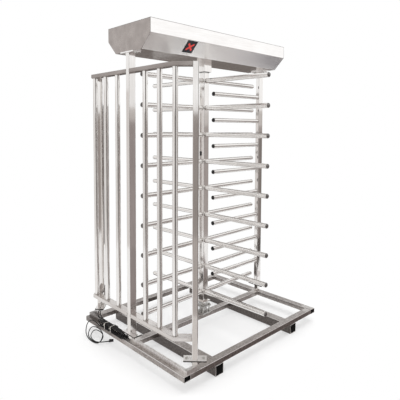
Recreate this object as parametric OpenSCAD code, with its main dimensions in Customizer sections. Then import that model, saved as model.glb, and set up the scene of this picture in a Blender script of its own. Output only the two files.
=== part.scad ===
// Full height turnstile: a four winged rotor between a comb barrier and a curved bar fence,
// hung from a head canopy that holds the lock, standing on a raised base frame of steel tube.
// Millimetres, +Z up. The origin is on the rotor's axis at the floor. The comb lies along +X.

/* [Base frame] */
// Length of the base frame, along the comb
frame_length = 1600; // [1560:5:1800]
// Width of the base frame, along the fence
frame_width = 1280; // [1280:5:1500]
// Width of a base frame tube
base_tube_w = 60; // [50:1:80]
// Height of a base frame tube
base_tube_h = 40; // [30:1:60]
// Wall of the base frame tubes
base_tube_wall = 3; // [2:0.5:5]
// Side of a square skid tube under the frame
skid_size = 80; // [60:1:100]
// Wall of the skid tubes
skid_wall = 4; // [3:0.5:6]
// Distance between the skids' centre lines
skid_spacing = 920; // [800:5:1100]
// Width of the rail that carries the fence's feet
track_w = 20; // [16:1:30]
// Height of that rail
track_h = 28; // [20:1:40]
// Distance from the base frame's outer face to the rail
track_inset = 28; // [26:1:40]
// Width of the rail's short returns under the fence posts
track_return_w = 27; // [20:1:36]
// Distance of the returns' ends from the end posts' centres
return_stop = 8; // [0:1:14]

/* [Posts and feet] */
// Depth of a post, the wider side of its tube
post_depth = 60; // [50:1:70]
// Width of a post, the narrower side
post_width = 40; // [36:1:50]
// Wall of the posts
post_wall = 3; // [2:0.5:4]
// Distance from the base frame's outer face to the main posts' outer face
post_inset = 4; // [0:1:10]
// Height of the foot plates' top above the base frame
foot_rise = 70; // [60:1:90]
// Length of a foot plate or a top plate
plate_length = 160; // [140:1:180]
// Width of a foot plate or a top plate
plate_width = 75; // [70:1:90]
// Thickness of these plates
plate_thickness = 10; // [8:0.5:12]
// Side of the short leg under a foot plate
leg_size = 40; // [30:1:50]
// Shank diameter of the plates' bolts
bolt_d = 10; // [8:1:12]
// Distance between a plate's two bolts
bolt_spacing = 120; // [110:1:130]

/* [Fence] */
// Distance of the fence's top below the canopy
fence_drop = 126; // [100:2:330]
// Height of the bottom rail's underside above the foot plates
bottom_rail_rise = 128; // [80:1:200]
// Height of a fence rail
rail_height = 30; // [25:1:40]
// Distance of the end posts' centres inside the base frame's outer face
fence_inset = 35; // [35:1:60]
// How far the fence turns in from each corner to its end post, along X and along Y
fence_return = 97; // [90:1:110]
// Diameter of a fence bar
fence_bar_d = 38; // [30:1:42]
// Wall of a fence bar
fence_bar_wall = 2; // [1.5:0.5:4]
// Spacing of the fence bars
fence_bar_pitch = 165; // [140:1:180]
// Number of bars on each side of the middle post
fence_bars = 3; // [1:1:3]

/* [Rotor and comb] */
// Number of arms in each wing
arm_levels = 9; // [6:1:9]
// Distance of the highest arms below the canopy
top_arm_drop = 155; // [140:1:200]
// Height of the lowest arms above the base frame
low_arm_rise = 191; // [180:1:400]
// Diameter of the arms and of the comb's tubes
arm_d = 38; // [30:1:42]
// Wall of the arms and of the comb's tubes
arm_wall = 2; // [1.5:0.5:4]
// Gap between the wings' tips and the main posts
wing_gap = 48; // [36:1:120]
// Length of a domed end cap
cap_length = 12; // [8:1:16]
// Side of the rotor's square column
column_size = 60; // [50:1:64]
// Wall of the column
column_wall = 3; // [2:0.5:5]
// Gap between the pivot bearing and the flange under the column
rotor_gap = 28; // [24:1:40]
// Turn of the rotor in its rest place
rest_turn = 1.66; // [-3:0.01:3]
// Distance from the rotor's axis to the comb's free ends
comb_clear = 105; // [80:1:140]
// How far the comb's tubes lie above the middle of the gaps between the arms
comb_offset = 13; // [-20:1:20]

/* [Head canopy] */
// Height of the canopy's underside above the foot plates
head_height = 2132; // [2050:5:2200]
// Distance of the canopy's ends inside the base frame's ends
canopy_setback = 13; // [0:1:13]
// Width of the canopy's underside
canopy_bottom_w = 332; // [320:2:380]
// Width of the canopy at its vertical sides
canopy_top_w = 536; // [520:2:600]
// Height of the canopy's slanted sides
canopy_slope_h = 101; // [96:1:130]
// Height of the canopy's vertical sides, with the lid
canopy_side_h = 103; // [90:1:130]
// Thickness of the canopy's sheet
sheet = 2; // [1.5:0.5:3]
// Side of the square sleeve round the rotor's shaft
sleeve_size = 90; // [86:1:110]
// Height of that sleeve
sleeve_height = 80; // [60:1:100]
// Depth of the lips under the lid
lid_depth = 15; // [10:1:20]

/* [Indicators] */
// Length of an indicator along the canopy
indicator_l = 100; // [90:1:120]
// Width of an indicator up the slope
indicator_w = 110; // [90:1:116]
// Distance of an indicator's centre from the rotor's axis
indicator_offset = 376; // [260:1:600]

/* [Head mechanism] */
// Height of the channel's flanges
channel_h = 40; // [30:1:42]
// Thickness of the channel
channel_t = 5; // [4:0.5:8]
// Diameter of the rotor's shaft
shaft_d = 40; // [30:1:44]
// Diameter of the lock wheel
wheel_d = 200; // [190:1:206]
// Thickness of the lock wheel, the pawls and the index cam
wheel_t = 12; // [10:0.5:14]
// Swing of a lock pawl from free to locked
pawl_swing = 10; // [6:0.5:12]
// Length of a pawl from its pin to its nose
pawl_reach = 60; // [56:1:64]
// Length of a pawl's tail from its pin to its plunger
pawl_tail = 40; // [36:1:44]

/* [Pivot] */
// Diameter of the pivot pin under the column
pivot_d = 30; // [20:1:36]
// Height of the pivot bearing above the base frame
pivot_height = 74; // [60:1:90]
// Side of the pivot bearing's flange
pivot_flange = 100; // [90:1:110]

/* [Cable] */
// Diameter of the cable
cable_d = 7; // [5:0.5:7]
// Number of turns in the tied hank
hank_turns = 5; // [2:1:5]
// Number of turns in the loose coil, beside its last half
coil_turns = 2; // [1:1:2]

/* [Hidden] */
$fn = 32;

// Overrun of every cut past the face that it opens
overrun = 1;
// Gap between pieces that lie against each other without touching
seat_gap = 0.3;
// Clearance of a shaft or pin in its own bore, on the radius
running_gap = 0.05;
// Clearance of a bolt in its hole, on the radius
hole_gap = 0.5;
steel = "#c9c5c0";
bright_steel = "#e2dfdb";
raw_steel = "#8f8680";
black = "#1c1b1c";
zinc = "#b3b0a4";

// Heights
base_top = skid_size + base_tube_h;
track_top = base_top + track_h;
plate_top = base_top + foot_rise;
plate_bottom = plate_top - plate_thickness;
canopy_bottom = plate_top + head_height;
knuckle_z = canopy_bottom + canopy_slope_h;
lid_top = knuckle_z + canopy_side_h;
lid_bottom = lid_top - sheet;
fence_height = head_height - fence_drop;
rail_top_z = plate_top + fence_height - rail_height;
rail_bottom_z = plate_top + bottom_rail_rise;

// Places of the posts
post_x = frame_length / 2 - post_inset - post_depth / 2;
end_post_x = post_x - fence_return;
end_post_y = frame_width / 2 - fence_inset;
fence_corner = end_post_y - fence_return;
rotor_reach = post_x - post_depth / 2 - wing_gap;
canopy_length = frame_length - 2 * canopy_setback;
arm_pitch = (canopy_bottom - top_arm_drop - base_top - low_arm_rise) / (arm_levels - 1);
post_height = canopy_bottom - plate_thickness - plate_top;

// Outline of a rectangle with rounded corners about the origin
corner_steps = 3;
function rounded(w, h, r) = [for (q = [0:3]) for (k = [0:corner_steps]) let (
    a = 90 * q + 90 * k / corner_steps,
    cx = q == 0 || q == 3 ? 1 : -1,
    cy = q < 2 ? 1 : -1
) [cx * (w / 2 - r) + r * cos(a), cy * (h / 2 - r) + r * sin(a)]];

// A rolled rectangular tube about its own centre, w by h, along Z; its corners grow with its wall
outer_corner_share = 1.5;
inner_corner_share = 0.5;
module square_tube(w, h, length, wall) {
    difference() {
        translate([0, 0, -length / 2]) linear_extrude(height = length)
            polygon(rounded(w, h, outer_corner_share * wall));
        translate([0, 0, -length / 2 - overrun]) linear_extrude(height = length + 2 * overrun)
            polygon(rounded(w - 2 * wall, h - 2 * wall, inner_corner_share * wall));
    }
}

// A plastic plug in the end of such a tube, its outer face at z = 0 and its body below
plug_recess = 1.5;
plug_depth = 20;
module tube_plug(w, h, wall) {
    translate([0, 0, -plug_recess - plug_depth]) linear_extrude(height = plug_depth)
        polygon(rounded(w - 2 * wall - 2 * seat_gap, h - 2 * wall - 2 * seat_gap, inner_corner_share * wall));
}

// A round tube along X from x0 to x1
module round_tube(x0, x1, d, wall) {
    translate([x0, 0, 0]) rotate([0, 90, 0]) difference() {
        cylinder(h = x1 - x0, d = d);
        translate([0, 0, -overrun]) cylinder(h = x1 - x0 + 2 * overrun, d = d - 2 * wall);
    }
}

// A domed end cap on a tube that ends at the origin and runs back along -X
cap_spigot = 1.2 * cap_length;
cap_angles = [0:15:90];
module end_cap(d, wall) {
    bore_r = d / 2 - wall - seat_gap / 2;
    dome = [for (a = cap_angles) [d / 2 * cos(a), cap_length * sin(a)]];
    rotate([0, 90, 0]) rotate_extrude()
        polygon(concat([[0, -cap_spigot], [bore_r, -cap_spigot], [bore_r, 0]], dome));
}

// Base frame

module skid(side) {
    color(raw_steel) translate([side * skid_spacing / 2, 0, skid_size / 2]) rotate([90, 0, 0])
        square_tube(skid_size, skid_size, frame_width, skid_wall);
}

module long_base_tube(side) {
    color(raw_steel)
    translate([side * (frame_length - base_tube_w) / 2, 0, base_top - base_tube_h / 2]) rotate([90, 0, 0])
        square_tube(base_tube_w, base_tube_h, frame_width, base_tube_wall);
}

module cross_base_tube(y) {
    color(raw_steel) translate([0, y, base_top - base_tube_h / 2]) rotate([90, 0, 90])
        square_tube(base_tube_w, base_tube_h, frame_length - 2 * base_tube_w, base_tube_wall);
}
cross_tube_y = (frame_width - base_tube_w) / 2;

// Plugs in the open ends of the long tubes and the skids
module end_plugs() {
    color(black) for (x = [-1, 1]) for (y = [-1, 1]) {
        translate([x * skid_spacing / 2, y * frame_width / 2, skid_size / 2]) rotate([-90 * y, 0, 0])
            tube_plug(skid_size, skid_size, skid_wall);
        translate([x * (frame_length - base_tube_w) / 2, y * frame_width / 2, base_top - base_tube_h / 2])
            rotate([-90 * y, 0, 0]) tube_plug(base_tube_w, base_tube_h, base_tube_wall);
    }
}

// The rail on the left base tube, with a short return at each end
track_x = frame_length / 2 - track_inset;
track_end_inset = 6;
track_y = frame_width / 2 - track_end_inset;
track_return = track_x - end_post_x - return_stop;
module fence_track() {
    color(raw_steel) translate([-track_x, 0, base_top]) {
        translate([0, -track_y, 0]) cube([track_w, 2 * track_y, track_h]);
        for (s = [-1, 1])
            translate([0, s > 0 ? track_y - track_return_w : -track_y, 0])
                cube([track_return, track_return_w, track_h]);
    }
}

// Feet

// Places of the four feet: X, Y, turn and the height that the leg stands on
feet = [
    [-post_x, 0, 90, track_top],
    [post_x, 0, 90, base_top],
    [-end_post_x, -end_post_y, -45, track_top],
    [-end_post_x, end_post_y, 45, track_top]
];

// Two glands side by side on the back leg, their axes pointing at the fence's corner
gland_side = 9.5;
gland_drop = 1;
gland_hole_r = 6;
gland_z = (track_top + plate_bottom) / 2 - gland_drop;
module at_glands() {
    for (s = [-1, 1]) translate([-end_post_x, end_post_y, gland_z]) rotate([0, 0, 45])
        translate([-leg_size / 2, s * gland_side, 0]) rotate([0, -90, 0]) children();
}

module foot_legs() {
    color(steel) difference() {
        for (f = feet)
            translate([f[0], f[1], (f[3] + plate_bottom) / 2]) rotate([0, 0, f[2]])
                square_tube(leg_size, leg_size, plate_bottom - f[3], post_wall);
        at_glands() translate([0, 0, -post_wall - overrun])
            cylinder(h = post_wall + 2 * overrun, r = gland_hole_r);
    }
}

module bolted_plate() {
    difference() {
        translate([-plate_length / 2, -plate_width / 2, 0]) cube([plate_length, plate_width, plate_thickness]);
        for (s = [-1, 1])
            translate([s * bolt_spacing / 2, 0, -overrun])
                cylinder(h = plate_thickness + 2 * overrun, r = bolt_d / 2 + hole_gap);
    }
}

module foot_plates() {
    color(bright_steel) for (f = feet)
        translate([f[0], f[1], plate_bottom]) rotate([0, 0, f[2]]) bolted_plate();
}

// Plates under the canopy that bolt the main posts to the channel
module top_plates() {
    color(bright_steel) for (s = [-1, 1])
        translate([s * post_x, 0, canopy_bottom - plate_thickness]) rotate([0, 0, 90]) bolted_plate();
}

// A hexagon bolt standing head down from z = 0, its nut gripping a stack of the given height
head_flat_d = 1.9 * bolt_d;
head_height_b = 0.64 * bolt_d;
nut_height = 0.8 * bolt_d;
thread_out = 0.5 * bolt_d;
module bolt_and_nut(grip) {
    translate([0, 0, -head_height_b]) cylinder(h = head_height_b, d = head_flat_d, $fn = 6);
    cylinder(h = grip + nut_height + thread_out, d = bolt_d);
    translate([0, 0, grip]) cylinder(h = nut_height, d = head_flat_d, $fn = 6);
}

head_stack = plate_thickness + sheet + channel_t;
// Bolts of the plates at both ends of the posts, and the screws of the pivot bearing
module frame_bolts() {
    color(zinc) {
        for (f = feet)
            translate([f[0], f[1], plate_top]) rotate([0, 0, f[2]]) for (s = [-1, 1])
                translate([s * bolt_spacing / 2, 0, 0]) rotate([180, 0, 0]) bolt_and_nut(plate_thickness);
        for (p = [-1, 1]) for (s = [-1, 1])
            translate([p * post_x, s * bolt_spacing / 2, canopy_bottom - plate_thickness])
                bolt_and_nut(head_stack);
        for (x = [-1, 1]) for (y = [-1, 1])
            translate([x, y, 0] * pivot_bolt_share * pivot_flange + [0, 0, base_top]) {
                translate([0, 0, seat_gap])
                    cylinder(h = pivot_height + nut_height + thread_out - seat_gap, d = bolt_d);
                for (z = [pivot_plate_t, pivot_height - pivot_rim_t - nut_height, pivot_height])
                    translate([0, 0, z]) cylinder(h = nut_height, d = head_flat_d, $fn = 6);
            }
    }
}

// Posts

module main_post(side) {
    color(steel) translate([side * post_x, 0, plate_top + post_height / 2])
        square_tube(post_depth, post_width, post_height, post_wall);
}

// The fence's end posts stand at 45 degrees and have a closed top
module fence_post(side) {
    color(steel) translate([-end_post_x, side * end_post_y, plate_top]) rotate([0, 0, side * 45])
    difference() {
        linear_extrude(height = fence_height)
            polygon(rounded(post_width, post_depth, outer_corner_share * post_wall));
        translate([0, 0, -overrun]) linear_extrude(height = fence_height - post_wall + overrun)
            polygon(rounded(post_width - 2 * post_wall, post_depth - 2 * post_wall, inner_corner_share * post_wall));
    }
}

// Fence

// Outline of half a rail seen from above, grown by a margin at its ends
function rail_outline(half_w, margin) = let (
    c = cos(45),
    bend = half_w * tan(22.5),
    run = fence_return - post_width / 2 * c + margin * c,
    tip = [run - post_x, -fence_corner - run]
) [
    [-post_x - half_w, -post_width / 2 + margin],
    [-post_x - half_w, -fence_corner - bend],
    tip + half_w * [-c, -c],
    tip + half_w * [c, c],
    [-post_x + half_w, -fence_corner + bend],
    [-post_x + half_w, -post_width / 2 + margin]
];

module fence_rails(z) {
    color(steel) for (m = [0, 1]) mirror([0, m, 0]) translate([0, 0, z]) difference() {
        linear_extrude(height = rail_height) polygon(rail_outline(post_depth / 2, 0));
        translate([0, 0, post_wall]) linear_extrude(height = rail_height - 2 * post_wall)
            polygon(rail_outline(post_depth / 2 - post_wall, overrun));
    }
}

module fence_bars(side) {
    h = rail_top_z - rail_bottom_z - rail_height;
    color(bright_steel) for (i = [0:fence_bars - 1])
        translate([-post_x, side * (fence_corner - i * fence_bar_pitch), rail_bottom_z + rail_height])
            difference() {
                cylinder(h = h, d = fence_bar_d);
                translate([0, 0, -overrun])
                    cylinder(h = h + 2 * overrun, d = fence_bar_d - 2 * fence_bar_wall);
            }
}

// Comb

function arm_z(level) = canopy_bottom - top_arm_drop - level * arm_pitch;
function comb_z(level) = arm_z(level) - arm_pitch / 2 + comb_offset;
comb_levels = arm_levels - 1;

module comb_arms() {
    color(bright_steel) for (i = [0:comb_levels - 1]) translate([0, 0, comb_z(i)])
        round_tube(comb_clear + cap_length, post_x - post_depth / 2, arm_d, arm_wall);
}

module comb_caps() {
    color(black) for (i = [0:comb_levels - 1])
        translate([comb_clear + cap_length, 0, comb_z(i)]) rotate([0, 0, 180]) end_cap(arm_d, arm_wall);
}

// Canopy

slope_run = (canopy_top_w - canopy_bottom_w) / 2;
slope_angle = atan2(canopy_slope_h, slope_run);
slope_length = norm([slope_run, canopy_slope_h]);
// Centres of the two folds on one side of the tray, in Y and Z
fold_r = 5;
fold_steps = 3;
fold_centres = [
    [canopy_bottom_w / 2 - fold_r * tan(slope_angle / 2), canopy_bottom + fold_r],
    [canopy_top_w / 2 - fold_r, knuckle_z + fold_r * tan((90 - slope_angle) / 2)]
];
function fold(c, r, from, to) = [for (k = [0:fold_steps]) let (a = from + (to - from) * k / fold_steps)
    c + r * [cos(a), sin(a)]];

// The tray's whole outline, drawn in from the outside by an inset, its sides carried up to a height
function tray_outline(inset, top) = let (
    side = concat(fold(fold_centres[0], fold_r - inset, -90, slope_angle - 90),
        fold(fold_centres[1], fold_r - inset, slope_angle - 90, 0), [[canopy_top_w / 2 - inset, top]])
) concat(side, [for (i = [len(side) - 1:-1:0]) [-side[i][0], side[i][1]]]);

// Draws an outline in Y and Z and runs it along X from x0 to x1
module along_x(x0, x1) {
    translate([x0, 0, 0]) rotate([90, 0, 90]) linear_extrude(height = x1 - x0) children();
}

// Puts the indicators' frame on each slanted side: Y up the slope, Z out of it
module on_slopes() {
    for (turn = [0, 180]) rotate([0, 0, turn])
        translate([-indicator_offset, -(canopy_bottom_w + slope_run) / 2, canopy_bottom + canopy_slope_h / 2])
            rotate([180 - slope_angle, 0, 0]) children();
}
// Distance of an indicator's centre up the slope from the slope's middle
indicator_margin = 6;
indicator_rise = slope_length / 2 - indicator_w / 2 - indicator_margin;
indicator_lip = 7;
indicator_proud = 2;
indicator_depth = 24;

tray_half_l = canopy_length / 2 - sheet;
keeper_l = 50;
keeper_w = 12;
keeper_t = 2;
keeper_leg = 12;
lock_inset = 36;
lock_y = -(canopy_top_w / 2 - lock_inset);
tongue_t = 4;
lip_bottom = lid_bottom - lid_depth;
keeper_z = lip_bottom - keeper_t / 2;
shaft_hole_d = shaft_d + 12;

// A round hole down through the canopy's floor and the channel
module floor_hole(x, y, d) {
    translate([x, y, canopy_bottom - overrun])
        cylinder(h = sheet + channel_t + 2 * overrun, d = d);
}

module head_bolt_holes() {
    for (p = [-1, 1]) for (s = [-1, 1])
        floor_hole(p * post_x, s * bolt_spacing / 2, bolt_d + 2 * hole_gap);
}

module canopy_tray() {
    color(bright_steel) {
        difference() {
            along_x(-tray_half_l, tray_half_l) difference() {
                polygon(tray_outline(0, lid_bottom - seat_gap));
                polygon(tray_outline(sheet, lid_bottom + overrun));
            }
            floor_hole(0, 0, shaft_hole_d);
            head_bolt_holes();
            on_slopes() translate([0, indicator_rise, 0])
                cube([indicator_l - 2 * indicator_lip, indicator_w - 2 * indicator_lip, 4 * sheet + 2 * overrun],
                    center = true);
        }
    }
}

module canopy_end(side) {
    color(steel) along_x(side > 0 ? tray_half_l : -canopy_length / 2,
        side > 0 ? canopy_length / 2 : -tray_half_l)
        polygon(tray_outline(0, lid_bottom - seat_gap));
}

// Lid and hinges

hinge_count = 3;
hinge_r = 6;
hinge_pin_r = 3;
hinge_l = 90;
hinge_leaf_t = 3;
hinge_leaf_h = 38;
hinge_y = canopy_top_w / 2 + hinge_r + seat_gap;
hinge_z = lid_top;
hinge_gap = 0.6;
hinge_share = 0.36;
hinge_places = [for (i = [0:hinge_count - 1]) (i - (hinge_count - 1) / 2) * hinge_share * canopy_length];
// Half length of the lid's own knuckle in the middle of a hinge
lid_knuckle = hinge_l / 6;
lock_plug_d = 19;
lock_head_d = 26;
lock_head_t = 4;

module knuckle(x0, x1) {
    translate([x0, hinge_y, hinge_z]) rotate([0, 90, 0]) cylinder(h = x1 - x0, r = hinge_r);
}

module hinge_bore() {
    translate([-hinge_l / 2 - overrun, hinge_y, hinge_z]) rotate([0, 90, 0])
        cylinder(h = hinge_l + 2 * overrun, r = hinge_pin_r + running_gap);
}

lid_lip_inset = 18;
lid_end_gap = 8;
module canopy_lid() {
    half_l = canopy_length / 2;
    half_w = canopy_top_w / 2;
    color(bright_steel) difference() {
        union() {
            translate([-half_l, -half_w, lid_bottom]) cube([canopy_length, canopy_top_w, sheet]);
            for (s = [-1, 1])
                translate([-tray_half_l + lid_end_gap, s * (half_w - lid_lip_inset) - sheet / 2, lip_bottom])
                    cube([2 * (tray_half_l - lid_end_gap), sheet, lid_depth + sheet / 2]);
            for (x = hinge_places) translate([x, 0, 0]) {
                knuckle(-lid_knuckle + hinge_gap, lid_knuckle - hinge_gap);
                translate([-lid_knuckle + hinge_gap, half_w - hinge_r, lid_bottom])
                    cube([2 * (lid_knuckle - hinge_gap), 2 * hinge_r, sheet]);
            }
        }
        for (x = hinge_places) translate([x, 0, 0]) hinge_bore();
        translate([0, lock_y, lid_bottom - overrun])
            cylinder(h = sheet + 2 * overrun, r = lock_plug_d / 2 + running_gap);
    }
}

// The fixed leaves on the back of the canopy with their knuckles and pins, and the lock's keeper in front
module lid_fittings() {
    top = hinge_z - hinge_r - hinge_gap;
    color(zinc) for (x = hinge_places) translate([x, 0, 0]) {
        difference() {
            union() {
                for (s = [-1, 1]) {
                    x0 = s > 0 ? lid_knuckle : -hinge_l / 2;
                    x1 = s > 0 ? hinge_l / 2 : -lid_knuckle;
                    knuckle(x0, x1);
                    translate([x0, canopy_top_w / 2 + seat_gap, top - hinge_r])
                        cube([x1 - x0, hinge_leaf_t, hinge_z - top + hinge_r]);
                }
                translate([-hinge_l / 2, canopy_top_w / 2 + seat_gap, hinge_z - hinge_leaf_h])
                    cube([hinge_l, hinge_leaf_t, top - hinge_z + hinge_leaf_h]);
            }
            translate([-lid_knuckle, hinge_y - hinge_r - hinge_gap, top])
                cube([2 * lid_knuckle, 2 * (hinge_r + hinge_gap), 2 * hinge_r + hinge_gap]);
        }
        translate([-hinge_l / 2, hinge_y, hinge_z]) rotate([0, 90, 0]) cylinder(h = hinge_l, r = hinge_pin_r);
    }
    color(zinc) translate([-keeper_l / 2, -canopy_top_w / 2 + sheet + seat_gap, keeper_z]) {
        cube([keeper_l, keeper_w, keeper_t]);
        cube([keeper_l, keeper_t, keeper_leg]);
    }
}

// Cam lock in the lid: its tongue lies along X while it is free
tongue_l = 30;
tongue_w = 16;
tongue_z = lip_bottom - 2 * tongue_t;
module lid_lock() {
    color(zinc) translate([0, lock_y, 0]) {
        translate([0, 0, lid_top + seat_gap]) cylinder(h = lock_head_t, d = lock_head_d);
        translate([0, 0, tongue_z]) cylinder(h = lid_top - tongue_z + overrun, d = lock_plug_d);
        translate([0, -tongue_w / 2, tongue_z]) cube([tongue_l, tongue_w, tongue_t]);
    }
}

// Sleeve under the canopy
module top_sleeve() {
    color(bright_steel) translate([0, 0, canopy_bottom - sleeve_height / 2])
        square_tube(sleeve_size, sleeve_size, sleeve_height, sheet);
}

// Indicators

lens_margin = 9;
lens_t = 2;
lens_fit = 0.2;
module indicator_housings() {
    l = indicator_l - 2 * indicator_lip - 2 * seat_gap;
    w = indicator_w - 2 * indicator_lip - 2 * seat_gap;
    color(black) on_slopes() translate([0, indicator_rise, 0]) difference() {
        union() {
            translate([-indicator_l / 2, -indicator_w / 2, 0]) cube([indicator_l, indicator_w, indicator_proud]);
            translate([-l / 2, -w / 2, -indicator_depth]) cube([l, w, indicator_depth + indicator_proud / 2]);
        }
        translate([-indicator_l / 2 + lens_margin, -indicator_w / 2 + lens_margin, indicator_proud - lens_t])
            cube([indicator_l - 2 * lens_margin, indicator_w - 2 * lens_margin, lens_t + overrun]);
    }
}

cross_share = 0.36;
cross_bar_w = 12;
cross_t = 0.6;
module indicator_lenses() {
    l = indicator_l - 2 * lens_margin - 2 * lens_fit;
    w = indicator_w - 2 * lens_margin - 2 * lens_fit;
    color("#b01c1c") on_slopes() translate([0, indicator_rise, indicator_proud - lens_t]) {
        translate([-l / 2, -w / 2, 0]) cube([l, w, lens_t]);
        for (a = [-45, 45]) rotate([0, 0, a])
            translate([-l * cross_share, -cross_bar_w / 2, lens_t / 2])
                cube([2 * l * cross_share, cross_bar_w, lens_t / 2 + cross_t]);
    }
}

// Rotor

foot_flange = 90;
foot_flange_t = 10;
column_bottom = base_top + pivot_height + rotor_gap + foot_flange_t;
shaft_flange_t = 6;
column_gap = 3;
column_top = canopy_bottom - sleeve_height - column_gap - shaft_flange_t;
plug_gap = 0.5;
inner_size = column_size - 2 * column_wall - 2 * plug_gap;
spigot_h = 25;

module at_rest() {
    rotate([0, 0, rest_turn]) children();
}

module rotor_column() {
    h = column_top - column_bottom;
    color(steel) at_rest() translate([0, 0, column_bottom + h / 2])
        square_tube(column_size, column_size, h, column_wall);
}

// One wing of arms, turned to its side of the column
module wing(turn) {
    color(bright_steel) rotate([0, 0, turn + rest_turn]) for (i = [0:arm_levels - 1])
        translate([0, 0, arm_z(i)])
            round_tube(column_size / 2, rotor_reach - cap_length, arm_d, arm_wall);
}

module arm_caps() {
    color(bright_steel) for (turn = [0, 90, 180, 270]) rotate([0, 0, turn + rest_turn])
        for (i = [0:arm_levels - 1])
            translate([rotor_reach - cap_length, 0, arm_z(i)]) end_cap(arm_d, arm_wall);
}

// Black plug of the wiring hole, on the column's fence side
plug_w = 20;
plug_h = 40;
plug_t = 4;
plug_level_share = 2.7;
plug_offset = 9;
module column_plug() {
    z = arm_z(0) - plug_level_share * arm_pitch;
    color(black) at_rest() translate([-column_size / 2, plug_offset, z]) rotate([0, -90, 0]) {
        for (s = [-1, 1]) translate([s * (plug_h - plug_w) / 2, 0, 0]) cylinder(h = plug_t, d = plug_w);
        translate([-(plug_h - plug_w) / 2, -plug_w / 2, 0]) cube([plug_h - plug_w, plug_w, plug_t]);
    }
}

// Flange under the column, with its spigot and pivot pin
module rotor_foot() {
    pin_bottom = base_top + seat_gap;
    color(bright_steel) at_rest() {
        translate([-foot_flange / 2, -foot_flange / 2, column_bottom - foot_flange_t])
            cube([foot_flange, foot_flange, foot_flange_t]);
        translate([-inner_size / 2, -inner_size / 2, column_bottom - foot_flange_t / 2])
            cube([inner_size, inner_size, spigot_h + foot_flange_t / 2]);
        translate([0, 0, pin_bottom]) cylinder(h = column_bottom - pin_bottom, d = pivot_d);
    }
}

// Pivot bearing on the middle base tube: a flange, a boss and a cover plate, held on four studs
pivot_plate_t = 12;
pivot_boss_d = pivot_d + 34;
pivot_rim_t = 12;
pivot_bolt_share = 0.37;
module pivot_bearing() {
    color(bright_steel) translate([0, 0, base_top]) difference() {
        union() {
            translate([-pivot_flange / 2, -pivot_flange / 2, 0])
                cube([pivot_flange, pivot_flange, pivot_plate_t]);
            cylinder(h = pivot_height, d = pivot_boss_d);
            translate([-pivot_flange / 2, -pivot_flange / 2, pivot_height - pivot_rim_t])
                cube([pivot_flange, pivot_flange, pivot_rim_t]);
        }
        translate([0, 0, -overrun])
            cylinder(h = pivot_height + 2 * overrun, r = pivot_d / 2 + running_gap);
        for (x = [-1, 1]) for (y = [-1, 1])
            translate([x, y, 0] * pivot_bolt_share * pivot_flange + [0, 0, -overrun])
                cylinder(h = pivot_height + 2 * overrun, r = bolt_d / 2 + hole_gap);
    }
}

// Head mechanism

channel_z = canopy_bottom + sheet;
channel_top = channel_z + channel_t;
bearing_flange = 120;
bearing_flange_t = 14;
bearing_boss_d = shaft_d + 40;
bearing_h = 30;
wheel_gap = 7;
wheel_z = channel_top + bearing_h + wheel_gap;
cam_gap = 8;
cam_z = wheel_z + wheel_t + cam_gap;
cam_top = cam_z + 1.5 * wheel_t;
shaft_over = 14;
hub_d = shaft_d + 28;

// Pawl pins stand where an engaged nose lies in the middle of a notch
nose_l = 20;
nose_w = 12;
nose_gap = 2;
pawl_x = -(wheel_d / 2 + nose_gap + nose_l);
pawl_y = pawl_reach - nose_l * sin(pawl_swing) / 2 - nose_gap;
notch_w = 1.5 * nose_w;
notch_depth = 14;
pawl_pin_d = 16;
post_boss_d = 24;
tail_pin_d = 8;

// Pin of the index arm, and its nose, drawn just lifted off the cam's round
hollow_r = 24;
hollow_place = 88;
follower_r = 20;
index_x = -100;
index_y = -106;
index_pin_d = 20;
index_boss_d = index_pin_d + 20;
cam_d = 0.75 * wheel_d;
follower_y = -(cam_d / 2 + follower_r + seat_gap);

// Width of the channel, whose flanges stand just clear of the index arm's boss
boss_gap = 1;
channel_w = 2 * (index_boss_d / 2 - index_y + boss_gap + channel_t);
module post_pin(x, y, d, top) {
    translate([x, y, channel_z + overrun]) cylinder(h = top - channel_z - overrun, d = d);
}

module head_channel() {
    l = 2 * (tray_half_l - seat_gap);
    color(steel) difference() {
        union() {
            translate([-l / 2, -channel_w / 2, channel_z]) cube([l, channel_w, channel_t]);
            for (s = [-1, 1])
                translate([-l / 2, s > 0 ? channel_w / 2 - channel_t : -channel_w / 2, channel_z])
                    cube([l, channel_t, channel_h]);
            for (turn = [0, 180]) rotate([0, 0, turn]) {
                post_pin(pawl_x, pawl_y, post_boss_d, wheel_z - seat_gap);
                post_pin(pawl_x, pawl_y, pawl_pin_d, wheel_z + wheel_t + seat_gap);
            }
            post_pin(index_x, index_y, index_pin_d, cam_top);
        }
        floor_hole(0, 0, shaft_hole_d);
        head_bolt_holes();
    }
}

module top_bearing() {
    color("#6f757a") translate([0, 0, channel_top]) difference() {
        union() {
            translate([-bearing_flange / 2, -bearing_flange / 2, 0])
                cube([bearing_flange, bearing_flange, bearing_flange_t]);
            cylinder(h = bearing_h, d = bearing_boss_d);
        }
        translate([0, 0, -overrun]) cylinder(h = bearing_h + 2 * overrun, r = shaft_d / 2 + running_gap);
    }
}

module rotor_shaft() {
    color(steel) at_rest() {
        translate([-column_size / 2, -column_size / 2, column_top])
            cube([column_size, column_size, shaft_flange_t]);
        translate([-inner_size / 2, -inner_size / 2, column_top - spigot_h])
            cube([inner_size, inner_size, spigot_h + shaft_flange_t / 2]);
        translate([0, 0, column_top]) cylinder(h = cam_top + shaft_over - column_top, d = shaft_d);
    }
}

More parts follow.
